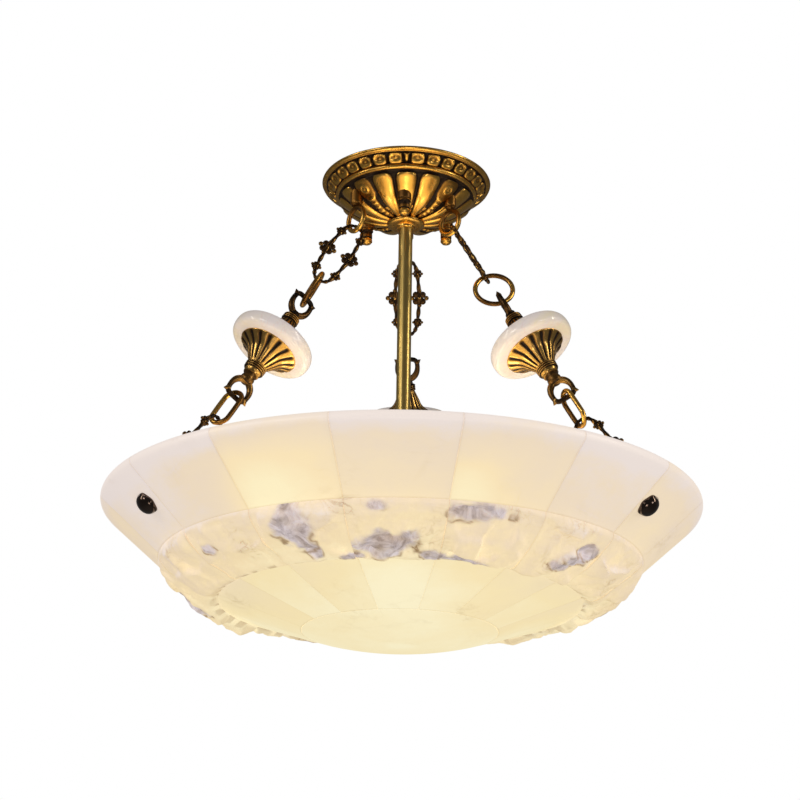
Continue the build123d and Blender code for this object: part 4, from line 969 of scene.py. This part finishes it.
def make_rough_band():
    """Split blocks: the outer face is pushed out by a lip-shaped base, cut into tilted facets
    h = level + tilt . (p - site), softly chosen by nearness, and roughened by noise. Towards a block's ends the
    push goes over to one that its neighbour shares. It is held back low on the far side and near azimuth 232."""
    v = np.concatenate([[0.0], np.linspace(0.02, 0.985, 44), [0.992, 0.997, 1.0]])
    outer = np.array(BAND_CORNER) + v[:, None] * rough_length * rough_down
    inner = spread([lower_inner, band_inner], 8.0)
    profile = np.concatenate([outer, inner])
    turned = orient(profile)
    flipped = not np.allclose(turned[0], profile[0])
    share = np.concatenate([v, np.full(len(inner), -1.0)])
    share = share[::-1] if flipped else share
    face = share >= 0.0
    down = np.clip(share, 0.0, 1.0)
    base = np.interp(down, [0.0, 0.03, 0.16, 0.55, 0.9, 0.97, 1.0], [0.0, 3.2, 6.4, 9.8, 8.2, 6.0, 0.0])

    def shape(block, azimuth):
        u = np.radians(azimuth)[:, None] * ROUGH_R
        w = down[None, :] * rough_length
        seeds = np.random.default_rng(100 + block)
        sites = np.stack([seeds.uniform(u.min(), u.max(), 12), seeds.uniform(0.0, rough_length, 12)], axis=1)
        tilt = seeds.normal(0.0, 0.13, (12, 2))
        level = seeds.normal(0.0, 1.5, 12)
        flat = np.stack(np.broadcast_arrays(u, w), axis=-1)
        solid = np.concatenate([flat, np.full(flat.shape[:2] + (1,), 40.0 * block)], axis=-1)
        warp = 3.0 * np.stack([rough_noise(solid, 17.0, 2), rough_noise(solid + 90.0, 17.0, 2)], axis=-1)
        gap = (flat + warp)[:, :, None, :] - sites
        weight = np.exp(-np.linalg.norm(gap, axis=-1) / 1.1)
        weight /= weight.sum(axis=-1, keepdims=True)
        facet = np.sum(weight * (level + np.sum(gap * tilt, axis=-1)), axis=-1)
        rag = 0.07 * rough_noise(solid * [1.0, 0.0, 1.0], 26.0, 3)
        low = np.interp(down[None, :] + rag, [0.86, 0.95, 1.01], [1.0, 0.8, 0.15])
        push = base * (0.9 + 0.25 * seeds.uniform(-1.0, 1.0)) * low
        inside = smooth(0.0, 0.1, down) * smooth(1.0, 0.93, down)
        around = outward(azimuth)[:, None, :] * ROUGH_R - UP * w[..., None]
        shared = base * 0.9 * low + 2.6 * inside * rough_noise(around, 16.0, 4)
        meet = 0.8 * smooth(10.0, 0.0, np.minimum(u - u.min(), u.max() - u))
        push = push + inside * (facet + 1.5 * rough_noise(solid, 9.0, 4) + 0.8 * rough_noise(solid + 40.0, 5.0, 2))
        push = push + meet * (shared - push)
        hidden = np.exp(-((turn_from(azimuth, 88.0) / 40.0) ** 4))[:, None]
        push = push * (1.0 - 0.5 * hidden * smooth(0.45, 0.85, down))
        bulge = np.exp(-((turn_from(azimuth, 232.0) / 20.0) ** 2))[:, None]
        push = push * (1.0 - 0.6 * bulge * smooth(0.3, 0.8, down))
        push = np.where(face, np.maximum(push, 0.15), 0.0)
        rise = np.where(face, np.gradient(push, axis=1) / (rough_length / 45.0), 0.0) * (-1.0 if flipped else 1.0)
        turn = np.gradient(push, axis=0) / np.gradient(u, axis=0)
        shade = np.where(face, -0.24 * np.clip(rise, 0.0, 1.0) + 0.08 * np.clip(-rise, 0.0, 1.0)
                         - 0.14 * np.clip(turn, -0.6, 0.6) - 0.02 * (push - base), 0.0)
        # Painted shade: brown on facets that face downwards, under the ledges of the split face.
        stain_and_shade = np.where(face, 0.3 * smooth(0.4, 1.5, -rise) * smooth(0.35, 0.65, lumps(solid + 17.0, 14.0)), 0.0)
        rind = np.zeros_like(push)
        for place, at, half_u, half_w in RIND:
            x = np.radians(turn_from(azimuth[:, None], place)) * ROUGH_R / half_u
            y = (down[None, :] - at) * rough_length / half_w
            near = np.hypot(x, y) + 0.9 * rough_noise(solid + 7.0, 11.0, 3)
            rind = np.maximum(rind, 1.0 - smooth(0.62, 1.22, near))
            outline = np.exp(-(((near - 1.08) / 0.13) ** 2)) * smooth(0.36, 0.52, lumps(solid + 71.0, 9.0))
            stain_and_shade = np.maximum(stain_and_shade, np.where(face, 0.85 * outline * smooth(-0.5, 0.4, y), 0.0))
        # Painted shadow: brown in patches along the ragged lower edge of the split face.
        brink_shade = smooth(0.93, 0.98, down) * smooth(0.47, 0.58, lumps(solid + 33.0, 8.0))
        stain_and_shade = np.maximum(stain_and_shade, np.where(face, 0.45 * brink_shade, 0.0))
        edge = smooth(0.9, 0.99, down) * smooth(0.05, 0.3, rough_noise(solid + 55.0, 22.0, 2))
        return push, np.where(face, np.clip(rind + 0.2 * edge, 0.0, 1.0), 0.0), stain_and_shade, shade

    shell = Shell()
    add_blocks(shell, turned, TONES["rough"], lambda block, points: 0.17, 0.0, 72, shape=shape)
    shell.piece("split_blocks", "bowl", rough_stone, "rough_stone", "bowl_rough_blocks", sharp=35.0)


def make_lower_bowl():
    """Lower ring of blocks and the shallow centre disc that closes the bowl."""
    rim = np.array(DISC_CORNER)
    outer = np.concatenate([spread([np.array(LOWER_CORNER) + 0.1 * lower_down, rim - 1.6 * lower_down], 3.5),
                            [rim - 0.7 * lower_down, rim - 0.06 * lower_down]])
    inner = spread([disc_inner - 0.06 * lower_down, lower_inner + 0.1 * lower_down], 8.0)
    profile = orient(np.concatenate([outer, inner]))
    joint = np.interp(np.linalg.norm(profile - rim, axis=1), [0.1, 0.7, 1.6], [0.3, 0.12, 0.0])
    joint = np.maximum(joint, 0.3 * (np.linalg.norm(profile - disc_inner, axis=1) < 1.0))
    shell = Shell()
    add_blocks(shell, profile, TONES["lower"], lambda block, points: -0.08, joint, 20)
    shell.piece("lower_blocks", "bowl", lower_stone, "bowl_stone", "bowl_lower_staves", sharp=50.0)
    a = np.linspace(0.0, asin(DISC_CORNER[0] / disc_sphere_r) - 0.0004, 40)
    out = np.stack([POLE_Z + disc_sphere_r * (1.0 - np.cos(a)), disc_sphere_r * np.sin(a) + 0.01], axis=1)
    back = np.stack([np.linspace(disc_inner[1], POLE_Z + WALL, 24),
                     np.sqrt(np.linspace(disc_inner[0] ** 2, 0.0001, 24))], axis=1)
    points = upright(0.0, 0.0, np.concatenate([out, back]), 144)
    light = lamplight(points) + 0.25 * near_spot(points, 0.0, POLE_Z, 10.0)
    Shell().grid(points, glow=np.clip(light, 0.0, 1.0), tone=0.55).piece(
        "centre_disc", "bowl", lower_stone, "bowl_stone", "bowl_centre_disc")


def nut_corners(x, r, t):
    """Ripple of a domed nut: six soft corners, 0.35 cos 6t, on its flange alone."""
    return 0.35 * np.cos(6.0 * t) * smooth(2.6, 1.6, x) * smooth(8.0, 9.0, r)


def make_bolts():
    """Eye bolts through the bowl's wall, their washers inside, and the domed nuts outside."""
    eyes, washers, nuts = Shell(), Shell(), Shell()
    t = np.linspace(0.0, 2.0 * pi, 64, endpoint=False)
    for name in ARM_AZIMUTH:
        side = outward(ARM_AZIMUTH[name])
        level = np.cross(UP, side)
        out = side * cone_out[0] + UP * cone_out[1]
        wall = side * bolt_r + UP * bolt_z
        normal = np.cross(out, level)
        centre = wall - out * EYE_DEPTH
        path = centre + 8.0 * (np.cos(t)[:, None] * out + np.sin(t)[:, None] * level)
        eyes.grid(wire(path, normal, 2.0), along=True, patina_and_shade=0.4)
        eyes.grid(turning(wall, out, level, [(-18.0, 0.01), (-18.0, 3.4), (-14.6, 3.2), (-13.6, 6.0), (-12.0, 6.2),
                                             (-11.85, 3.0), (3.6, 3.0), (3.7, 0.01)], 28), patina_and_shade=0.4)
        washers.grid(turning(wall, out, level, eased_line([(-11.75, 3.1), (-11.75, 7.8), (-11.4, 8.0),
                                                           (-10.3, 8.0), (-10.2, 3.1)], 1), 40), along=True,
                     patina_and_shade=0.3)
        nuts.grid(turning(wall, out, level, eased_line([(0.1, 3.1), (0.1, 9.3), (0.4, 9.8), (1.7, 9.7), (2.4, 9.2),
                                                        (4.0, 8.7), (6.2, 6.9), (7.8, 3.7), (8.4, 1.4),
                                                        (8.45, 0.01)], 2), 60, nut_corners), patina_and_shade=0.1)
    eyes.piece("eye_bolts", "bowl", dark_brass, "dark_brass", "bowl_eye_bolts")
    washers.piece("inner_washers", "bowl", dark_brass, "dark_brass", "bowl_inner_washers")
    nuts.piece("domed_nuts", "bowl", bronze, "dark_brass", "bowl_dome_nuts")


make_canopy()
make_canopy_fittings()
make_canopy_eyes()
make_stem()
for name in ARM_AZIMUTH:
    make_arm(name)
make_upper_band()
make_rough_band()
make_lower_bowl()
make_bolts()


# ---- studio ----


def area_light(name, place, aim, size, tall, power, colour=(1.0, 1.0, 1.0)):
    """Soft light, so wide and so tall, at a place, turned to look at its aim."""
    data = bpy.data.lights.new(name, "AREA")
    data.shape, data.size, data.size_y, data.energy, data.color = "RECTANGLE", size, tall, power, colour
    light = bpy.data.objects.new(name, data)
    back = np.subtract(place, aim)
    back /= np.linalg.norm(back)
    right = np.cross(UP, back)
    right /= np.linalg.norm(right)
    turn = np.eye(4)
    turn[:3, 0], turn[:3, 1], turn[:3, 2], turn[:3, 3] = right, np.cross(back, right), back, place
    light.matrix_world = Matrix(turn.tolist())
    bpy.context.scene.collection.objects.link(light)


def make_studio():
    """Pale floor, soft lights, a white surround, and the camera where the photograph was taken."""
    floor = bpy.data.meshes.new("floor")
    floor.from_pydata([(-25, -25, -2.6), (25, -25, -2.6), (25, 25, -2.6), (-25, 25, -2.6)], [], [(0, 1, 2, 3)])
    floor.materials.append(finish("pale_floor", lambda at, mark: {
        "Base Color": at.noise(3.0).mix((0.86, 0.86, 0.86), (0.84, 0.84, 0.84)), "Roughness": 0.7,
        "Emission Color": at.node("LightPath", {}).mix((0.0, 0.0, 0.0), (0.76, 0.76, 0.76)),
        "Emission Strength": 1.0}))
    ground = bpy.data.objects.new("floor", floor)
    bpy.context.scene.collection.objects.link(ground)
    area_light("key", (-1.3, -1.5, 0.2), (0.0, 0.0, -0.2), 0.5, 0.5, 5.5, (1.0, 0.97, 0.93))
    area_light("fill", (1.6, -1.2, -0.5), (0.0, 0.0, -0.25), 0.4, 0.4, 3.0)
    area_light("low", (0.1, -1.4, -1.15), (0.0, 0.0, -0.1), 0.4, 0.4, 2.5, (1.0, 0.93, 0.84))
    area_light("strip_right", (1.54, -0.5, 0.3), (0.0, 0.0, -0.2), 0.16, 0.9, 5.0, (1.0, 0.93, 0.78))
    area_light("strip_left", (-1.5, -0.6, 0.3), (0.0, 0.0, -0.2), 0.14, 0.9, 3.2, (1.0, 0.93, 0.8))
    world = bpy.data.worlds.new("studio")
    world.use_nodes = True
    tree = world.node_tree
    background = tree.nodes["Background"]
    seen = Socket(tree, None).node("LightPath", {})
    shown = seen.mix((0.1, 0.1, 0.1), (1.0, 1.0, 1.0))
    tree.links.new(shown.link, background.inputs["Color"])
    background.inputs["Strength"].default_value = 1.0
    bpy.context.scene.world = world
    bpy.context.scene.view_settings.view_transform = "Standard"

    pitch, roll = radians(19.94), radians(0.84)
    ahead = np.array([0.0, cos(pitch), sin(pitch)])
    above = np.array([0.0, -sin(pitch), cos(pitch)])
    right = np.array([1.0, 0.0, 0.0])
    place = np.eye(4)
    place[:3, 0] = right * cos(roll) + above * sin(roll)
    place[:3, 1] = above * cos(roll) - right * sin(roll)
    place[:3, 2] = -ahead
    place[:3, 3] = (0.0, -1.530, -0.7601)
    lens = bpy.data.cameras.new("camera")
    lens.sensor_width, lens.lens = 36.0, 36.0 * 1900.0 / 800.0
    lens.shift_x = -3.19 / 800.0
    camera = bpy.data.objects.new("camera", lens)
    camera.matrix_world = Matrix(place.tolist())
    bpy.context.scene.collection.objects.link(camera)
    bpy.context.scene.camera = camera


make_studio()
